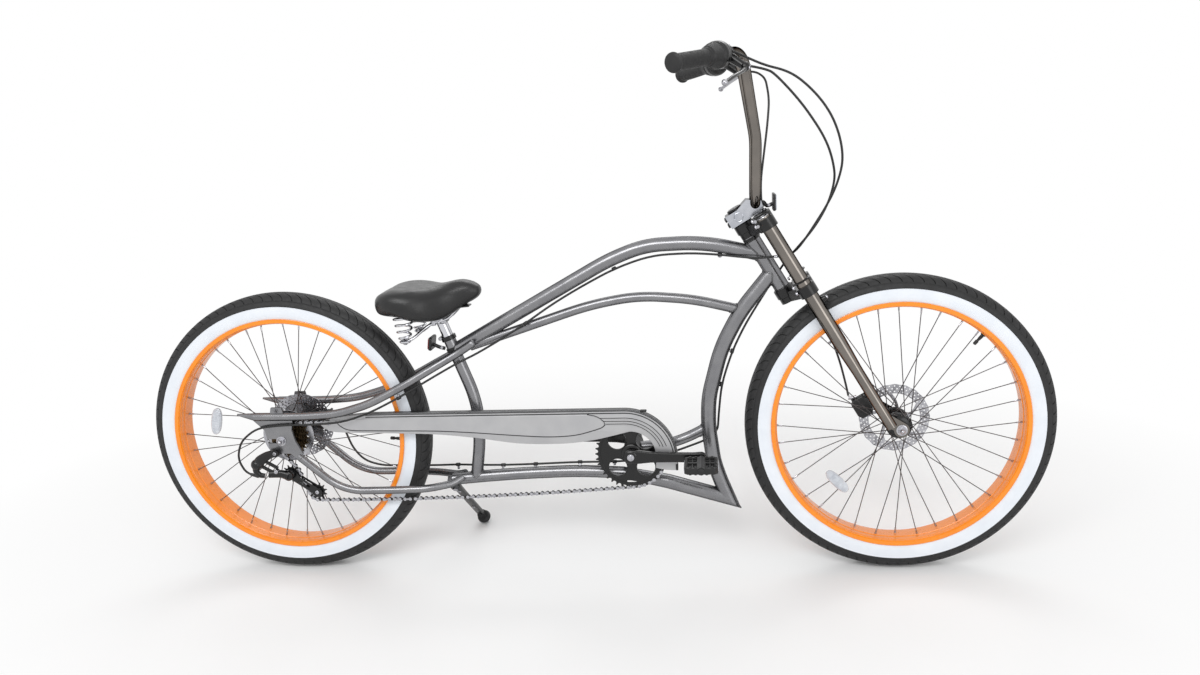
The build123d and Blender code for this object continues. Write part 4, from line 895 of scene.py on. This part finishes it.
# ---- bars, grips and levers: placed for the right hand, mirrored for the left ----
RIBBED = [(-4.2, 0.01), (-4.2, 12), (-3.4, 17), (-2, 18.8), (0.5, 19.2), (2.6, 18.6), (4, 16.4), (6, 15)]
for a in (8 + k * 3.9 for k in range(26)):
    RIBBED += [(a, 14.9), (a + 0.5, 15.7), (a + 2.6, 15.7), (a + 3.1, 14.9)]
RIBBED += [(110, 15.2), (112, 16.4), (114, 17.5), (116, 17.6), (117, 16.6), (117.6, 13)]
SHIFTER = [(112, 12), (116.4, 17.2), (118.6, 18.4)]
for k in range(7):
    a, r = 120 + k * 3.1, 19.2 + k * 0.85
    SHIFTER += [(a, r), (a + 0.5, r + 0.9), (a + 2, r + 1.1), (a + 2.5, r + 0.2)]
SHIFTER += [(142, 25.4), (143, 24.0), (144, 24.0), (145.5, 26), (148, 26.8), (164, 26.8), (169.5, 25.2),
            (172.5, 21), (174, 17), (174, 11.4)]

for side, label in ((-1, "right"), (1, "left")):
    mirror = V(1, -side, 1)
    end, bend = V(959, -323, 1154.3) * mirror, V(1092, -106, 1180.5) * mirror
    along = unit(bend - end)
    is_right = side < 0
    grip = Bag("twist_grip_" + label, "fork", "grip plastic black steel", "grip_rubber",
               ("grips",) if is_right else (), 40)
    grip.add(lathe(end, along, RIBBED, 44))
    palm = [end + along * a - V(0, 0, 13.4) for a in np.linspace(12, 108, 14)]
    grip.add(pipe(palm, 3.0 + 0.6 * np.sin(np.linspace(0, pi, 14)), 12))
    grip.add(lathe(end, along, SHIFTER, 56), "plastic")
    grip.add(lathe(end, along, [(149, 26.6), (150, 27.3), (161, 27.3), (162, 26.6)], 56), "black")
    grip.add(bar(end + along * 176, end + along * 197, 16.6, 16.2, 36, 1.4), "plastic")
    inner, root, tip = end + along * 186.5, V(1094, side * 178, 1146), V(1052, side * 286, 1115)
    neck = smooth_line([inner, (inner + root) / 2 + V(1, 0, -1), root], 6)
    grip.add(pipe(neck, [11, 11, 10.6, 10.2, 9.8, 9.4, 9, 8.8, 8.6, 8.4, 8.4, 8.6, 9.2], 20), "black")
    grip.add(ball(root, 10), "black")
    square = unit(np.cross(tip - root, V(0.3, 0.2, 1)))
    for way in (-1, 1):
        grip.add(bolt(root + square * way * 8.4, square * way, 3.4, 2.6), "steel")
    grip.add(bolt(inner + V(6, -side * 3, 15.2), V(0.2, 0, 1), 3.2, 3), "steel")
    outlet = V(1103, side * 172.6, 1147.5)
    grip.add(bar(root + V(2, 0, 0), outlet + unit(outlet - root) * 2, 4.6, 3.4, 20, 0.8), "steel")
    nut = [(0, 4.2), (0, 6), (0.6, 6.4), (3.4, 6.4), (4, 6), (4, 4.2)]
    grip.add(lathe(root + (outlet - root) * 0.35, outlet - root, nut, 24, True), "black")
    if is_right:
        grip.add(bar(V(1058, -190, 1180.5), V(1068, -182, 1178), 5.6, 3.4, 20, 0.8), "plastic")
    grip.done()
    lever = Bag("brake_lever_" + label, "fork", "black steel" if is_right else "steel black", "black_metal",
                ("brake_levers",) if is_right else ())
    reach = tip - root
    bow = smooth_line([root, root + reach * 0.2 + V(3, 0, -2), root + reach * 0.6 + V(4, 0, 1),
                       root + reach * 0.88 + V(1, 0, 0), tip], 8)
    width = np.interp(np.linspace(0, 1, len(bow)), [0, 0.1, 0.3, 0.7, 0.95, 1], [6.4, 6.2, 4.8, 4.4, 4, 4.2])
    lever.add(pipe(bow, width, 20, squash=(0.78, 1.0)))
    lever.add(ball(tip, 6.3), "steel").done()

# ---- reflectors on the head and on the seat ----
mid = V(1159, 0, 864)
unit_front = Bag("front_reflector_unit", "fork", "plastic clear steel", "clear_reflector", ("front_reflector",))
shell, at = oblong(25, 18.5, 5, 5), (mid, SIDE, (0, 0, 1), (1, 0, 0))
unit_front.add(slab([shell], -3.8, 1.6, 1.0, *at))
unit_front.add(slab([shell * (0.94, 0.92)], 1.2, 3.8, 0.9, *at), "clear")
stalk = smooth_line([mid - V(3, 0, 4), mid - V(16, 0, 8), at_steer(124, 62), at_steer(122, 55)], 5)
unit_front.add(pipe(stalk, 4.2, 14))
unit_front.add(bolt(mid - V(12, 6.5, 6), -SIDE, 3.6, 2.6), "steel").done()

unit_rear = Bag("rear_reflector_unit", "frame", "plastic red steel", "red_reflector", ("rear_reflector",))
tilt = V(cos(radians(8)), 0, -sin(radians(8)))
shell, at = oblong(22, 16, 6, 5), (V(363, 0, 567), SIDE, np.cross(tilt, SIDE), -tilt)
unit_rear.add(slab([shell], -4.8, 2.0, 1.2, *at))
unit_rear.add(slab([shell * (0.9, 0.88)], 1.6, 4.8, 1.2, *at), "red")
unit_rear.add(pipe(smooth_line([(366, 0, 563), (380, 0, 556), (394, 0, 552)], 5), 4.4, 14))
post_dir = unit((-47.2, 0, 132))
strap = [(0, 14.5), (0, 16.2), (0.8, 16.8), (9.2, 16.8), (10, 16.2), (10, 14.5)]
unit_rear.add(lathe(SEAT_TOP - post_dir * 37, post_dir, strap, 40, True))
unit_rear.add(bolt(V(388, -6.4, 556), -SIDE, 3.6, 2.6), "steel").done()

# ---- seat ----
Z = V(0, 0, 1)
post = Bag("seat_post_and_springs", "frame", "chrome steel black", "silver", ("seat_post",))
post_top = SEAT_TOP + post_dir * 48
post.add(bar(SEAT_TOP - post_dir * 4, post_top, 12.7, segments=36))
for dz in (-8, 5):
    post.add(block(post_top + V(1, 0, dz), (34, 38, 8), 3))
saddle_clamp = [(0, 6), (0, 9.4), (2, 11.6), (42, 11.6), (44, 9.4), (44, 6)]
post.add(lathe(post_top - SIDE * 22, SIDE, saddle_clamp, 32, True))
for side in (-1, 1):
    post.add(bolt(post_top + SIDE * side * 21, SIDE * side, 7.4, 5.6, True), "steel")
    foot, top = V(319, side * 60, 584), V(319, side * 60, 653)
    post.add(coil(foot, top, 11, 25, 4.6, 2.6, 10, 26))
    post.add(torus(top - Z, Z, 25.4, 2.6, 48, 10))
    post.add(torus(foot, Z, 10.4, 2.8, 40, 10))
    cone = [(0, 0.01), (0, 6), (1.5, 8.4), (4, 8.8), (6, 7), (9, 3.2), (10, 0.01)]
    post.add(lathe(foot - Z * 5, Z, cone, 28))
    post.add(bolt(foot - Z * 4.5, -Z, 4.2, 3, True), "steel")
    rail = [(338, 50, 591), (362, 26, 610), (384, 17, 619), (412, 17, 628), (440, 15, 655), (452, 9, 668)]
    post.add(pipe(smooth_line([foot - Z * 2] + [(x, side * y, z) for x, y, z in rail], 8), 3.5, 14))
    post.add(bar(V(376, side * 17, 611), V(376, side * 17, 631), 6.4, 6.4, 20, 1), "steel")
pan = [(262, 60), (290, 84), (330, 90), (372, 66), (408, 40), (440, 22), (462, 12)]
outline = pan + [(x, -y) for x, y in reversed(pan)]
post.add(slab([outline], 651, 655, 1.2, (0, 0, 0), (1, 0, 0), SIDE, Z), "black").done()
collar = Bag("seat_collar", "frame", "black steel", "black_metal")
profile = [(0, 14.2), (0, 17), (0.8, 17.8), (9.6, 17.8), (10.6, 16.8), (10.6, 12.8)]
collar.add(lathe(SEAT_TOP - post_dir * 9, post_dir, profile, 44, True))
pinch = SEAT_TOP - post_dir * 4 - V(18, 0, 0)
collar.add(bar(pinch - SIDE * 9, pinch + SIDE * 9, 4.4))
collar.add(bolt(pinch - SIDE * 9, -SIDE, 4.4, 3.4), "steel").done()


def evaluated(obj):
    """The object's mesh with its modifiers applied; the object itself loses them."""
    mesh = bpy.data.meshes.new_from_object(obj.evaluated_get(bpy.context.evaluated_depsgraph_get()))
    obj.modifiers.clear()
    return mesh


CLOTH_FRAMES, FURTHEST = 20, 0.004


def swollen(obj):
    """The object's points after a short cloth run under pressure, none moved further than a limit."""
    cloth = obj.modifiers.new("cloth", "CLOTH")
    cloth.settings.use_pressure = True
    cloth.settings.uniform_pressure_force = 4.0
    cloth.settings.effector_weights.gravity = 0.0
    cloth.settings.tension_stiffness = cloth.settings.compression_stiffness = 30.0
    cloth.point_cache.frame_start, cloth.point_cache.frame_end = 1, CLOTH_FRAMES
    for step in range(1, CLOTH_FRAMES + 1):
        scene.frame_set(step)
    start, end = (np.array([v.co[:] for v in mesh.vertices]) for mesh in (obj.data, evaluated(obj)))
    scene.frame_set(1)
    move = end - start
    return start + move * np.minimum(1.0, FURTHEST / np.maximum(norm(move, axis=1)[:, None], 1e-9))


def cushion():
    """The saddle: its solid's shape, padded by a cloth under pressure."""
    source = frame["nodes"]["saddle"]
    shape = bmesh.new()
    shape.from_mesh(source.data)
    bmesh.ops.remove_doubles(shape, verts=shape.verts, dist=1e-5)
    middle = sum((v.co for v in shape.verts), Vector()) / len(shape.verts)
    for vertex in shape.verts:
        vertex.co = middle + (vertex.co - middle) * 0.985
    mesh = bpy.data.meshes.new("padded_saddle")
    shape.to_mesh(mesh)
    shape.free()
    obj = linked("padded_saddle", mesh)
    obj.matrix_world = source.matrix_world
    remesh = obj.modifiers.new("remesh", "REMESH")
    remesh.mode, remesh.voxel_size = "VOXEL", 0.005
    obj.data = evaluated(obj)
    obj.data.vertices.foreach_set("co", swollen(obj).ravel())
    smooth = bmesh.new()
    smooth.from_mesh(obj.data)
    for _ in range(6):
        bmesh.ops.smooth_vert(smooth, verts=smooth.verts, factor=0.5, use_axis_x=True, use_axis_y=True,
                              use_axis_z=True)
    smooth.to_mesh(obj.data)
    smooth.free()
    finer = obj.modifiers.new("finer", "SUBSURF")
    finer.levels = finer.render_levels = 1
    obj.data = evaluated(obj)
    obj.data.materials.clear()
    obj.data.materials.append(LOOKS["vinyl"])
    obj.data.shade_smooth()
    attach(obj, "frame")
    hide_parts("saddle")


cushion()

# ---- chain guard ----
FACE, TOP_EDGE, RISE = -58.5, 413.5, 0.0962
guard = Bag("chain_cover", "frame", "guard guard_dark plastic steel", "guard_paint", ("chain_guard",), 30)


def arc(a, b, c, steps):
    """Points of the circle through three points, clockwise from the first to the last."""
    a, b, c = V(*a), V(*b), V(*c)
    d = 2 * (a[0] * (b[1] - c[1]) + b[0] * (c[1] - a[1]) + c[0] * (a[1] - b[1]))
    aa, bb, cc = a @ a, b @ b, c @ c
    centre = V((aa * (b[1] - c[1]) + bb * (c[1] - a[1]) + cc * (a[1] - b[1])) / d,
               (aa * (c[0] - b[0]) + bb * (a[0] - c[0]) + cc * (b[0] - a[0])) / d)
    radius = norm(a - centre)
    t = [atan2(*(q - centre)[::-1]) for q in (a, b, c)]
    back, whole = (t[0] - t[1]) % (2 * pi), (t[0] - t[2]) % (2 * pi)
    end = t[0] - whole if back < whole else t[0] + (t[2] - t[0]) % (2 * pi)
    angles = np.linspace(t[0], end, steps)
    return np.stack([centre[0] + radius * np.cos(angles), centre[1] + radius * np.sin(angles)], 1)


def rim_line(inset, start, end):
    """The guard's top edge and front, that far inside them."""
    top = [(x, min(TOP_EDGE, 406 + (x - 134) * RISE) - inset) for x in np.linspace(start, 212, 5) if x < 212]
    straight = [(x, TOP_EDGE - inset) for x in np.linspace(max(start, 212), 800, 30)]
    front = arc((812, TOP_EDGE - inset), (895 - 0.7 * inset, 380 - 0.7 * inset), (931.5 - inset, 306), 40)
    line = np.array(top + straight + list(front) + [(931.5 - inset, z) for z in (298, 290, 282, 274)])
    return line[line[:, 1] > end]


def strip(a, b, start, end, low, high, look):
    """A band that follows the guard's edge, between two insets."""
    outline = np.concatenate([rim_line(a, start, end), rim_line(b, start, end)[::-1]])
    guard.add(slab([outline], low, high, min(0.5, (high - low) * 0.4)), look)


def piping(line, lift):
    """A thin dark line laid on the guard's face."""
    points = np.column_stack([line[:, 0], np.full(len(line), FACE - 0.15), line[:, 1] + lift])
    guard.add(pipe(points, 0.9, 6), "guard_dark")


low_edge = smooth_line([(824, 360), (785, 350.5), (735, 340), (665, 333.3), (569, 335), (462, 350.3), (378, 359.2),
                        (289, 363.2), (138, 368.3), (104, 377)], 8)
front = arc((812, TOP_EDGE), (895, 380), (931.5, 306), 40)
inner = arc((882, 304), (862, 346), (824, 360), 20)
outline = np.concatenate([
    [(93, 388), (106, 399), (134, 406)], [(x, 406 + (x - 134) * RISE) for x in (160, 186)],
    [(212, TOP_EDGE), (500, TOP_EDGE)], front, [(930.5, 275), (929, 266), (905, 267), (881.5, 272), (881.5, 290)],
    inner, low_edge[1:]])
guard.add(slab([outline], FACE, FACE + 2.5, 1.1, steps=3))
strip(0, 2.5, 150, 262, FACE + 0.4, FACE + 14, "guard_dark")
strip(0.4, 2.2, 205, 290, FACE - 0.5, FACE + 1, "guard_dark")
strip(2.4, 5.2, 205, 290, FACE - 0.12, FACE + 1, "plastic")
strip(5.2, 7.8, 205, 290, FACE - 0.9, FACE + 1, "guard")
strip(7.8, 10.8, 205, 290, FACE - 0.12, FACE + 1, "plastic")
for inset, start in ((19.5, 756), (27.0, 765), (33.5, 770)):
    strip(inset, inset + 2.4, start, 322, FACE - 0.12, FACE + 1, "plastic")
    strip(inset + 2.4, inset + 4.6, start, 322, FACE - 0.7, FACE + 1, "guard")
panel_low = smooth_line([(746, 366), (700, 354.5), (640, 351), (560, 355.5), (462, 363.5), (378, 368.6),
                         (289, 370.6), (180, 372.6)], 6)
panel = np.concatenate([
    smooth_line([(180, 372.6), (158, 376), (141, 386), (133, 397)], 5), [(212, 401.4), (480, 401.6), (728, 401.6)],
    smooth_line([(728, 401.6), (748, 396.6), (761, 388), (767, 378.5), (760, 371.5), (746, 366)], 5),
    panel_low[1:-1]])
guard.add(slab([panel], FACE - 0.9, FACE + 1, 0.8))
piping(panel_low, -1.0)
piping(smooth_line([(180, 371.6), (157, 375), (140, 385.4), (132, 397)], 6), 0)
piping(smooth_line([(728, 402.6), (749, 397.4), (762.4, 388.6), (768.4, 378.5), (761, 370.8), (746, 365)], 6), 0)
guard.add(block((857, FACE + 4, 408.5), (15, 10, 4), 1.2), "plastic")
guard.add(block((929.4, FACE + 5, 274), (5.5, 16, 15), 1.4), "plastic")
guard.add(block((115, FACE + 4.8, 396), (17, 3.4, 31), 1.2))
guard.add(bolt(V(114, FACE, 389.4), -SIDE, 4.4, 2.6), "steel")
guard.add(block((112, FACE - 0.4, 398.6), (11, 1.2, 2.6), 0.5), "plastic").done()

# ---- brakes ----
CALIPER = [(-23.5, -13), (-13, -19.5), (13, -19.5), (23.5, -12), (23.5, 12), (13, 19.5), (-13, 19.5), (-23.5, 13)]
for prefix, centre, turned, reach, aside, low, high, body, lead, rim_height, lip_height in (
    ("front", FRONT, 120.2, 60, 48.5, 30.5, 51.0, "fork", 14, 3.0, 3.2),
    ("rear", REAR, 14, 63, 0, 37.0, 64.5, "frame", 20, 2.4, 2.6),
):
    t, disc_y = radians(turned), ROTOR_Y[prefix]
    out, aslant = V(cos(t), 0, sin(t)), V(-sin(t), 0, cos(t))
    middle = centre + out * reach + aslant * aside
    cal = Bag(prefix + "_disc_caliper", body, "plastic steel black", "black_plastic", (prefix + "_caliper",))
    for y0, y1 in ((low, disc_y - 2.2), (disc_y + 2.2, high)):
        cal.add(slab([rounded(CALIPER, 4, 4)], y0, y1, min(2.2, (y1 - y0) * 0.3), middle, out, aslant, SIDE, 2))
    face = middle + SIDE * high
    cover = [(0, 13), (1, 13), (rim_height, 11.6), (lip_height, 7), (2.2, 6.4), (2.2, 0.01)]
    cal.add(lathe(face - SIDE, SIDE, cover, 40), "black")
    for a, ahead in ((-17, 20), (17, lead)):
        pin = middle + aslant * a + out * ahead
        cal.add(bar(pin + SIDE * (low + 1), pin + SIDE * (high - 1), 3.0, segments=14))
        cal.add(bolt(face + aslant * a * 0.72 + out * 17 - SIDE * 0.4, SIDE, 3.4, 2.6), "steel")
    if prefix == "rear":
        hose = smooth_line([REAR + V(82, 54, 6.2), REAR + V(96, 54, -1), REAR + V(110, 54, -13.8)], 6)
        cal.add(pipe(hose, [5, 5, 5, 4.8, 4.6, 4.4, 4.2, 4, 3.8, 3.6, 3.6, 3.6, 3.4], 16), "steel")
        for x, dz in ((46, -1.8), (50, 26.2)):
            cal.add(bar(REAR + V(x, 63.5, dz), REAR + V(x, 67.5, dz), 5, segments=20), "steel")
    else:
        hose = smooth_line([FRONT + V(-84, 46, 50.2), FRONT + V(-94, 47, 47), FRONT + V(-103, 48, 46)], 6)
        cal.add(pipe(hose, 4.2, 16), "steel")
    cal.done()

# ---- derailleur ----
der = Bag("rear_derailleur", "frame", "black plastic steel", "black_metal", ("derailleur",), 40)
hanger, elbow = V(-14, -73.5, 327), V(-62, -80, 297)
pivot = [(0, 6), (0, 9), (1, 10), (12, 10), (14, 8.6), (14.6, 5), (13.4, 4.4), (13.4, 0.01)]
der.add(lathe(hanger, -SIDE, pivot, 36))
der.add(bolt(hanger - SIDE * 12.6, -SIDE, 4.2, 3.4), "steel")
widths = [9, 9, 9.2, 9.4, 9.6, 10, 10.4, 10.8, 11, 11.4, 11.8, 12.2, 12.6, 12.8, 13, 13, 12.6, 11.6, 10]
upper = smooth_line([hanger - SIDE * 8, V(-34, -82, 321), V(-52, -84, 310), elbow], 6)
der.add(pipe(upper, widths, 20, squash=(1.0, 0.72)))
der.add(ball(elbow + V(-2, -2, 2), 13.4))
widths = [11, 11, 10.6, 10.2, 9.8, 9.4, 9, 8.8, 8.4, 8.2, 8, 7.8, 7.6, 7.4, 7.2, 7, 7, 6.8, 6.6]
lower = smooth_line([elbow, V(-68, -80, 284), V(-62, -78, 272), V(-50, -75, 268)], 6)
der.add(pipe(lower, widths, 18, squash=(0.9, 0.8)))
der.add(bar(V(-64, -78, 268), V(-84, -79, 274), 4.6, 3.4, 20, 0.8), "plastic")
pivots = V(-52, -80, 303), V(-20, -72, 279)
for shift in (-7, 7):
    der.add(pipe([q + V(shift * 0.5, -1, shift) for q in pivots], 4.2, 14, squash=(1.0, 0.8)))
for q in pivots:
    der.add(bar(q + SIDE * 4, q - SIDE * 9, 5.4, 5.0, 20, 0.8), "steel")
pivot = [(-3, 6), (0, 12.4), (2, 13), (12, 12), (15, 9), (15.6, 5), (14.6, 4.6), (14.6, 0.01)]
der.add(lathe(GUIDE - SIDE * 56.5, -SIDE, pivot, 32))
widths = [11, 11, 10.6, 10.4, 10.2, 10, 9.8, 9.6, 9.4, 9.2, 9, 8.8, 8.6]
der.add(pipe(smooth_line([GUIDE - SIDE * 66, V(-14, -68, 270), V(-40, -76, 272)], 6), widths, 18, squash=(1, 0.8)))
span, along = norm(TENSION - GUIDE), unit(TENSION - GUIDE)
square = V(-along[2], 0, along[0])
cage = rounded([(-10, -9), (6, -11), (span - 8, -9), (span + 9, -9), (span + 12, 0), (span + 8, 10),
                (span - 10, 9), (26, 7), (8, 12), (-11, 9), (-14, 0)], 5, 4)
window = rounded([(22, -3.6), (span - 22, -3.2), (span - 22, 2.6), (22, 2.6)], 2.4, 4)
for y, outward in ((-54.6, -1), (-41.6, 1)):
    der.add(slab([cage, window], y - 0.9, y + 0.9, 0.4, GUIDE, along, square))
    for q in (GUIDE, TENSION):
        der.add(bolt(q + SIDE * (y + outward * 0.8), SIDE * outward, 4.6, 2.6), "steel")
jockey = [toothed(18.6, 11, 0.2), circle(0, 0, 5, 20)] + holes_round(10.4, np.arange(6) * pi / 3, 2.4, 10)
for q in (GUIDE, TENSION):
    der.add(slab(jockey, DRIVE_Y - 1.1, DRIVE_Y + 1.1, 0.4, q), "plastic")
    der.add(bar(q + SIDE * (DRIVE_Y - 6), q + SIDE * (DRIVE_Y + 6), 5.2, segments=20), "steel")
bridge = ((6, 0, -54), (16, 6, -50), (17, 6, -46), (6, 0, -42))
bridge = [TENSION + along * a - square * b + SIDE * y for a, b, y in bridge]
der.add(pipe(smooth_line(bridge, 6), 1.8, 10)).done()

# ---- side stand ----
HINGE, FOOT = V(384, 30, 201), V(409, 190, 49.18)
down = unit(FOOT - HINGE)
axis = unit(np.cross(V(1, 0, 0), down))
length = float(norm(FOOT - HINGE))


def on_stand(t, a=0.0, b=0.0):
    """A point of the stand: down its leg, then across it and out from it."""
    return HINGE + down * t + V(1, 0, 0) * a + axis * b


stand = Bag("folding_stand", "side_stand", "black steel rubber", "black_metal", ("side_stand",))
leg = [(10 * sin(a), -10 * cos(a)) for a in np.linspace(-pi / 2, pi / 2, 13)]
leg += [(9, 22), (8.4, 60), (8.2, length - 26), (-8.2, length - 26), (-8.4, 60), (-9, 22)]
stand.add(slab([leg, circle(0, 0, 4.2, 20)], -5.6, 5.6, 1.8, HINGE, (1, 0, 0), down, axis, 2))
for t in (26, length * 0.6):
    for way in (-1, 1):
        stand.add(bolt(on_stand(t, 0, way * 5.2), axis * way, 4.6, 3), "steel")
shoe = [(0, 6), (3, 8.6), (8, 10.6), (16, 12.2), (22, 15), (25, 16.6), (27, 17), (30, 17), (31.5, 16), (33, 13.8),
        (38, 13.2), (43, 10.8), (46.4, 6.4), (47.9, 2), (48, 0.01)]
stand.add(lathe(on_stand(length - 34), down, shoe), "rubber")
for k in range(5):
    stand.add(torus(on_stand(length - 27 + k * 3.2), down, 11.2 + k * 0.7, 0.8, 40, 8), "rubber")
stand.done()
spring = Bag("stand_spring_hook", "frame", "black steel", "black_metal")
for way in (-1, 1):
    spring.add(bolt(on_stand(0, 0, way * 9.7), axis * way, 7, 4.4, True), "steel")
spring.add(coil(on_stand(-17, 12.6, 3), on_stand(-30, 12.6, 3), 3.2, 3.2, 6, 0.9, 6, 12), "steel")
hook = smooth_line([on_stand(-30, 12.6, 3), on_stand(-34, 11, 3), on_stand(-33, 8, 3)], 5)
spring.add(pipe(hook, 1.2, 8), "steel").done()

# ---- weld beads ----
beads = Bag("weld_beads", "frame", "weld", "frame_paint")


def bead(point, way, radius, through, along, wide, wire=1.9):
    """A ripple of weld where one tube runs into another."""
    u, v, w = frame_of(way)
    m = unit(along)
    ring = []
    for a in around(72):
        q = arr(point) - w * 90 + radius * (cos(a) * u + sin(a) * v) - through
        flat, run = q - m * np.dot(q, m), w - m * np.dot(w, m)
        aa, bb, cc = run @ run, 2 * flat @ run, flat @ flat - wide * wide
        ring.append(q + through + w * (-bb - sqrt(max(bb * bb - 4 * aa * cc, 0))) / (2 * aa))
    beads.add(pipe(ring, wire * (1 + 0.16 * np.sin(np.arange(72) * pi / 2)), 8, True))


ARCH = STEER + V(14.5, 0, -10.7)
bead(STEER + V(-6.5, 0, 21), (134.2, 0, -33.6), 15.9, STEER, UP, 17.6)
bead(ARCH, (77.4, 0, 94), 17.3, STEER, UP, 17.6)
bead(STEER + V(-71.5, 0, -98.5), (95.2, 0, -24.4), 11.1, ARCH, (77.4, 0, 94), 17.45, 1.6)
bead((446.5, 0, 240), (-13.5, 0, -86), 14.1, V(388, 0, 228), (82, 0, 7.2), 14.3, 2.2)
bead((1004, 0, 352), (47, 0, 25), 12, V(1005.1, 0, 422.3), (2.5, 0, 69.8), 17.45, 1.6)
bead(CRANK, CRANK - V(905, 0, 309), 12, CRANK, SIDE, 21.5, 1.6)
for side in (-1, 1):
    beads.add(torus(V(433, side * 25, 548), V(30, -side * 3, 19), 9.6, 1.4, 40, 8))
    beads.add(torus(V(44, side * 69.4, 309), V(99, side, -89.5), 8.6, 1.4, 40, 8))
beads.done()

cups = Bag("bracket_cups", "frame", "black steel", "black_metal")
cup = [(0, 13), (0, 21.8), (1, 22.6), (4.5, 22.6), (5.4, 21.6), (5.4, 14.2)]
for side, segments in ((-1, 40), (1, 16)):
    cups.add(lathe(CRANK + SIDE * side * 33, SIDE * side, cup, segments))
eyelet = lathe(V(-4, -73.7, 427), -SIDE, [(0, 3.2), (0, 5), (0.5, 5.2), (0.9, 5), (0.9, 3.2)], 24, True)
cups.add(eyelet, "steel").add(eyelet, "steel")  # both in one place: the second changes nothing that is seen
for side in (-1, 1):
    washer = [(0, 7), (0, 11.6), (0.4, 12), (1.4, 12), (1.8, 11.6), (1.8, 6)]
    axle_end(cups, REAR + SIDE * side * 73.5, SIDE * side, washer, 7.4, 11)
cups.done()


# ---- cables ----
def thin(points):
    """A cable's route as one soft curve."""
    data = bpy.data.curves.new("route", "CURVE")
    data.dimensions, data.resolution_u = "3D", 8
    spline = data.splines.new("NURBS")
    spline.points.add(len(points) - 1)
    for point, target in zip(points, spline.points):
        target.co = (*point, 1)
    spline.order_u, spline.use_endpoint_u = 3, True
    holder = bpy.data.objects.new("route", data)
    mesh = bpy.data.meshes.new_from_object(holder)
    line = np.array([v.co[:] for v in mesh.vertices])
    for store, item in ((bpy.data.objects, holder), (bpy.data.curves, data), (bpy.data.meshes, mesh)):
        store.remove(item)
    return line


SHIFT_LOOP = [
    (1066, -184, 1178.5), (1092, -164, 1167), (1134, -146, 1148), (1174, -138, 1137), (1204, -129, 1120),
    (1240, -118, 1086), (1265, -109, 1052), (1280, -102, 1021), (1290, -96, 988), (1294, -91, 957),
    (1291, -86, 929), (1279, -79, 890), (1262, -73, 856), (1244, -67, 826), (1222, -58, 790), (1202, -46, 761),
    (1182, -34, 748), (1160, -28.6, 747), (1156, -28, 747),
]
BRAKE_LOOP = [
    (1103, -172, 1147), (1140, -150, 1140), (1157, -143, 1127), (1184, -131, 1099), (1208, -121, 1071),
    (1230, -111, 1041), (1251, -100, 1009), (1266, -89, 979), (1276, -79, 947), (1281, -70, 916),
    (1274, -60, 879), (1260, -50, 842), (1237, -38, 803), (1212, -20, 770), (1184, 11, 732), (1182, 14, 728),
]
for name, route, replaced, start, end in (
    ("shift_steering_loop", SHIFT_LOOP, ("steering_loops",), (1166, -30, 752), (1246, -96, 1000)),
    ("brake_steering_loop", BRAKE_LOOP, (), (1190, 4, 740), (1240, -90, 1000)),
):
    loop = Bag(name, None, "sheath steel", "cable_sheath", replaced)
    line = thin(route)
    loop.add(pipe(line, 2.5, 12))
    loop.add(bar(line[-1] + unit(line[-2] - line[-1]) * 7, line[-1], 3.2, segments=14), "steel")
    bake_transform(loop.done(), "frame", "fork", start=tuple(row(start)[0]), end=tuple(row(end)[0]))

clips = Bag("cable_clips", "frame", "plastic steel", "black_plastic")
sleeve = [(0, 2.6), (0, 3.9), (0.6, 4.3), (9.4, 4.3), (10, 3.9), (10, 2.6)]
for spot, along, tube in (
    ((1038, -3, 751.5), (60, 0, 1), (0, 2, -6)),
    ((800, 0, 727.5), (85, 0, 36), None),
    ((592, -15, 610), (62, 4, 37), (2, 8, -7)),
    ((290, -58, 450), (76, 16, 41), (0, 0, 9)),
    ((780, 4, 266.5), (1, 0, 0.02), (0, -3.2, -8)),
    ((697.5, 4, 266.5), (1, 0, 0.02), (0, -3.2, -8)),
    ((590, 6, 262), (1, 0, 0.02), (0, -4.8, -8)),
    ((510, 12, 258), (1, 0, 0.02), (0, -9.6, -8)),
    ((392, 36, 252), (60, -18, 8), (0, 4, -12)),
    ((262, 65, 241), (1, 0, 0), (0, 0, -6)),
    ((1061, 0, 530), (1, 0, 3), (-6, 0, 1)),
    ((1035, 0, 452), (0.3, 0, 1), (-8, 0, 0)),
    ((1294, 80, 530), (17, -9, -52), (-9, -9, -4)),
):
    clips.add(lathe(V(*spot) - unit(along) * 5, along, sleeve, 20, True))
    if tube:
        clips.add(bar(V(*spot) + unit(tube) * 3, V(*spot) + V(*tube), 2.6, 3.4, 14), "steel")
clips.done()
